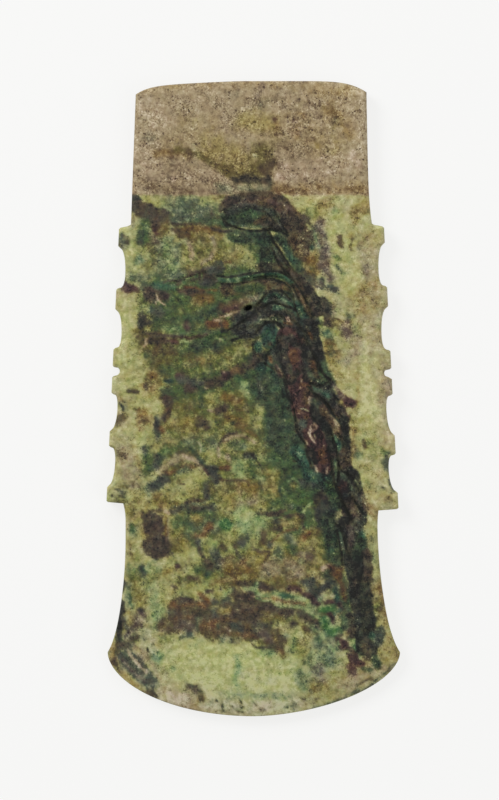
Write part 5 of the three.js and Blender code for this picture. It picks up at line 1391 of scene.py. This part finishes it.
for name, value in zip(OUTPUTS, (broad, fine, warm, glow, vein, rough)):
    mottle.links.new(value, result.inputs[name])
print("mottle group:", len(mottle.nodes), "nodes")


# %% Speck group, for pits and for flecks
def bent_place(tree, where, amount, scale, detail, rough):
    """A place pushed about by noise, so that cells do not look drawn with a ruler, and that noise."""
    jitter = node(tree, "ShaderNodeTexNoise", Vector=where, Scale=scale, Detail=detail, Roughness=rough)
    push = jitter.outputs["Color"]
    settings = {"operation": "MULTIPLY_ADD"}
    bent = node(tree, "ShaderNodeVectorMath", settings, _0=push, _1=(amount,) * 3, _2=where)
    return bent.outputs[0], jitter.outputs[0]


specks, given, result = group(
    "Specks", {"Millimetres": None, "Spacing": 1.0, "Size": 0.3, "Share": 0.3}, {"Mask": "NodeSocketFloat"}
)
scale = maths(specks, "DIVIDE", 1.0, given.outputs["Spacing"])
bent, jitter = bent_place(specks, given.outputs["Millimetres"], 0.5, 2.5, 2.0, 0.5)
cells = node(specks, "ShaderNodeTexVoronoi", Vector=bent, Scale=scale)
split = node(specks, "ShaderNodeSeparateColor", _0=cells.outputs["Color"])
kept = maths(specks, "LESS_THAN", split.outputs[0], given.outputs["Share"])
reach = times(specks, given.outputs["Size"], times(specks, split.outputs[1], 0.8, 0.4))
reach = times(specks, reach, scale)
inside = step_between(specks, cells.outputs["Distance"], reach, times(specks, reach, 0.45))
specks.links.new(times(specks, kept, inside), result.inputs["Mask"])
print("speck group:", len(specks.nodes), "nodes")

# %% Cracked plates group
PLATE_TURN = 0.38  # the crust runs down the blade at this angle, so its plates are longer that way
PLATES_PER_MM = (0.3, 0.1, 0.1)
plates, given, result = group(
    "Cracked plates", {"Millimetres": None}, {"Crack": "NodeSocketFloat", "Plate": "NodeSocketFloat"}
)
bent, jitter = bent_place(plates, given.outputs["Millimetres"], 1.8, 0.7, 3.0, 0.7)
turned = node(plates, "ShaderNodeMapping", Vector=bent, Rotation=(0, 0, -PLATE_TURN), Scale=PLATES_PER_MM)
turned = turned.outputs[0]
edges = node(plates, "ShaderNodeTexVoronoi", {"feature": "DISTANCE_TO_EDGE"}, Vector=turned, Scale=1.0)
cells = node(plates, "ShaderNodeTexVoronoi", Vector=turned, Scale=1.0)
open_here = step_between(plates, jitter, 0.45, 0.6)
crack = times(plates, step_between(plates, edges.outputs["Distance"], 0.07, 0.01), open_here)
plates.links.new(crack, result.inputs["Crack"])
split = node(plates, "ShaderNodeSeparateColor", _0=cells.outputs["Color"])
plates.links.new(split.outputs[0], result.inputs["Plate"])
print("plate group:", len(plates.nodes), "nodes")

# %% [markdown]
# ## The jade and its crust as one material
# One piece of stone gets one material. The map of stains comes in as attributes, the groups add what is
# too small to lay, and three masks choose the surface: the butt is dry, ground and pitted, the bare jade
# keeps a soft polish, and the crust is rough and granular. Roughness and bump follow the same masks, so
# shine and colour agree.

# %% Jade material
jade = bpy.data.materials.new("stained_jade")
jade.use_nodes = True
tree = jade.node_tree
tree.nodes.clear()
place = node(tree, "ShaderNodeTexCoord").outputs["Object"]
where = node(tree, "ShaderNodeVectorMath", {"operation": "SCALE"}, _0=place, Scale=1 / MM).outputs[0]
given = {
    name: node(tree, "ShaderNodeAttribute", {"attribute_name": name}).outputs["Fac"]
    for name in ("tone", "warmth", "yellow", "butt", "crust")
}


def placed(kind, **sockets):
    """One of the groups above, placed in the jade material with its own values."""
    return node(tree, "ShaderNodeGroup", {"node_tree": kind}, Millimetres=where, **sockets).outputs


def by_tone(low, high, at_pale, at_dark):
    """A value that changes smoothly with the tone of the stain."""
    return step_between(tree, given["tone"], low, high, at_pale, at_dark)


def by_butt(on_blade, on_butt):
    """A value that differs between the blade and the butt."""
    return times(tree, given["butt"], maths(tree, "SUBTRACT", on_butt, on_blade), on_blade)


# %% Jade colour
marks = placed(mottle)
grit = placed(specks, Spacing=0.8, Size=0.3, Share=0.45)["Mask"]
pits = placed(specks, Spacing=1.7, Size=0.42, Share=0.4)["Mask"]
flecks = placed(specks, Spacing=1.15, Size=0.34, Share=0.35)["Mask"]
crackle = placed(plates)
crack, plate = (times(tree, crackle[name], given["crust"]) for name in ("Crack", "Plate"))
uneven_grit, uneven_flecks = (times(tree, mask, marks["Rough"]) for mask in (grit, flecks))
# how much each pattern moves the tone: (pattern, from and to which tone, at pale, at dark, on the butt)
SHIFTS = (
    (marks["Broad"], 0.1, 0.45, 0.18, 0.24, 0.17),
    (marks["Fine"], 0.12, 0.35, 0.07, 0.15, 0.23),
    (uneven_grit, 0.12, 0.3, 0.07, 0.2, 0.28),
    (pits, 0.12, 0.3, 0.08, 0.22, 0.24),
    (uneven_flecks, 0.1, 0.6, -0.05, -0.15, -0.2),
)
shift = times(tree, marks["Vein"], by_butt(0.3, 0.0))
for pattern, *tones, on_butt in SHIFTS:
    shift = times(tree, pattern, by_butt(by_tone(*tones), on_butt), shift)
shift = times(tree, times(tree, uneven_flecks, given["crust"]), -0.12, shift)
shift = times(tree, shift, by_tone(0.75, 1.0, 1.0, 0.7))
shift = times(tree, shift, times(tree, given["crust"], 0.3, 1.0))
# The cracks between the crust's plates are darkened: partly their own dark, partly painted shade in them.
shift = times(tree, crack, 0.14, times(tree, plate, 0.2, times(tree, given["crust"], -0.1, shift)))
colour = node(
    tree,
    "ShaderNodeGroup",
    {"node_tree": stain_colour},
    Tone=maths(tree, "ADD", given["tone"], shift, clamp=True),
    Warmth=times(tree, marks["Warmth"], by_butt(0.45, 0.15), given["warmth"]),
    Yellow=times(tree, marks["Yellow"], by_butt(0.42, 0.15), given["yellow"]),
)
print("jade colour wired")

# %% Jade surface
rough = by_tone(0.15, 0.7, 0.42, 0.6)
for pattern, amount in ((given["crust"], 0.1), (given["butt"], 0.16), (marks["Fine"], 0.05)):
    rough = times(tree, pattern, amount, rough)
grain = times(tree, marks["Fine"], step_between(tree, given["crust"], 0.0, 1.0, 0.25, 1.0))
grain = times(tree, marks["Broad"], by_tone(0.1, 0.7, 0.15, 0.9), grain)
for pattern, amount in ((grit, -1.0), (pits, -1.0), (crack, -3.0)):
    grain = times(tree, pattern, amount, grain)
bump = node(tree, "ShaderNodeBump", Strength=0.6, Distance=0.12 * MM, Height=grain)
shader = node(tree, "ShaderNodeBsdfPrincipled", Roughness=rough, Normal=bump.outputs[0], IOR=1.5)
tree.links.new(colour.outputs["Color"], shader.inputs["Base Color"])
shader.inputs["Specular IOR Level"].default_value = 0.3
node(tree, "ShaderNodeOutputMaterial", Surface=shader.outputs[0])
mesh.materials.append(jade)
print("jade material:", len(tree.nodes), "nodes")

# %% [markdown]
# ## Floor, light and camera
# A museum records such a blade from straight above, on a bright table under very even light, so it hardly
# throws a shadow. The floor gives off a little light of its own, as a light table does. A large soft
# light from the upper left is a bit stronger than the one across from it, which is what makes the folds
# of the crust readable.

# %% Bright table
floor_mesh = bpy.data.meshes.new("table_top")
FLOOR_HALF = 1.5
corners = [(x * FLOOR_HALF, y * FLOOR_HALF, 0) for x, y in ((-1, -1), (1, -1), (1, 1), (-1, 1))]
floor_mesh.from_pydata(corners, [], [(0, 1, 2, 3)])
floor = bpy.data.objects.new("table_top", floor_mesh)
bpy.context.scene.collection.objects.link(floor)
paper = bpy.data.materials.new("white_table")
paper.use_nodes = True
surface = paper.node_tree.nodes["Principled BSDF"]
surface.inputs["Base Color"].default_value = (0.14, 0.14, 0.139, 1)
surface.inputs["Roughness"].default_value = 0.9
surface.inputs["Specular IOR Level"].default_value = 0.0
surface.inputs["Emission Color"].default_value = (1.0, 1.0, 0.99, 1)
surface.inputs["Emission Strength"].default_value = 0.793
floor_mesh.materials.append(paper)
print("table", 2 * FLOOR_HALF, "m wide")


# %% Soft lights
def soft_light(name, position, size, watts):
    """A square area light at a place, turned so that it faces the blade."""
    lamp = bpy.data.lights.new(name, "AREA")
    lamp.size, lamp.energy = size, watts
    made = bpy.data.objects.new(name, lamp)
    made.location = position
    x, y, z = position
    made.rotation_euler = (math.atan2(math.hypot(x, y), z), 0, math.atan2(x, -y))
    bpy.context.scene.collection.objects.link(made)


soft_light("key", (-0.9, 0.75, 0.95), 0.7, 14.5)
soft_light("fill", (1.0, -0.5, 0.9), 1.1, 5.7)
soft_light("butt_side", (0.2, 1.2, 0.9), 0.9, 4.7)
world = bpy.data.worlds.new("studio")
world.use_nodes = True
sky = world.node_tree.nodes["Background"]
sky.inputs["Color"].default_value = (1, 1, 1, 1)
sky.inputs["Strength"].default_value = 0.335
bpy.context.scene.world = world
bpy.context.scene.view_settings.view_transform = "Standard"
print("three soft lights and a dim room")

# %% Camera straight above
VIEW_HEIGHT = 0.24  # how much of the table the long side of the view takes in
DISTANCE = 1.2
eye = bpy.data.cameras.new("overhead")
eye.sensor_width = 36
eye.lens = eye.sensor_width * DISTANCE / VIEW_HEIGHT
camera = bpy.data.objects.new("overhead", eye)
camera.location = (-1.155 * MM, -0.35 * MM, DISTANCE + MIDDLE_PLANE * MM)
bpy.context.scene.collection.objects.link(camera)
bpy.context.scene.camera = camera
print("lens", round(eye.lens), "mm")

# %% Finish
bpy.context.view_layer.update()
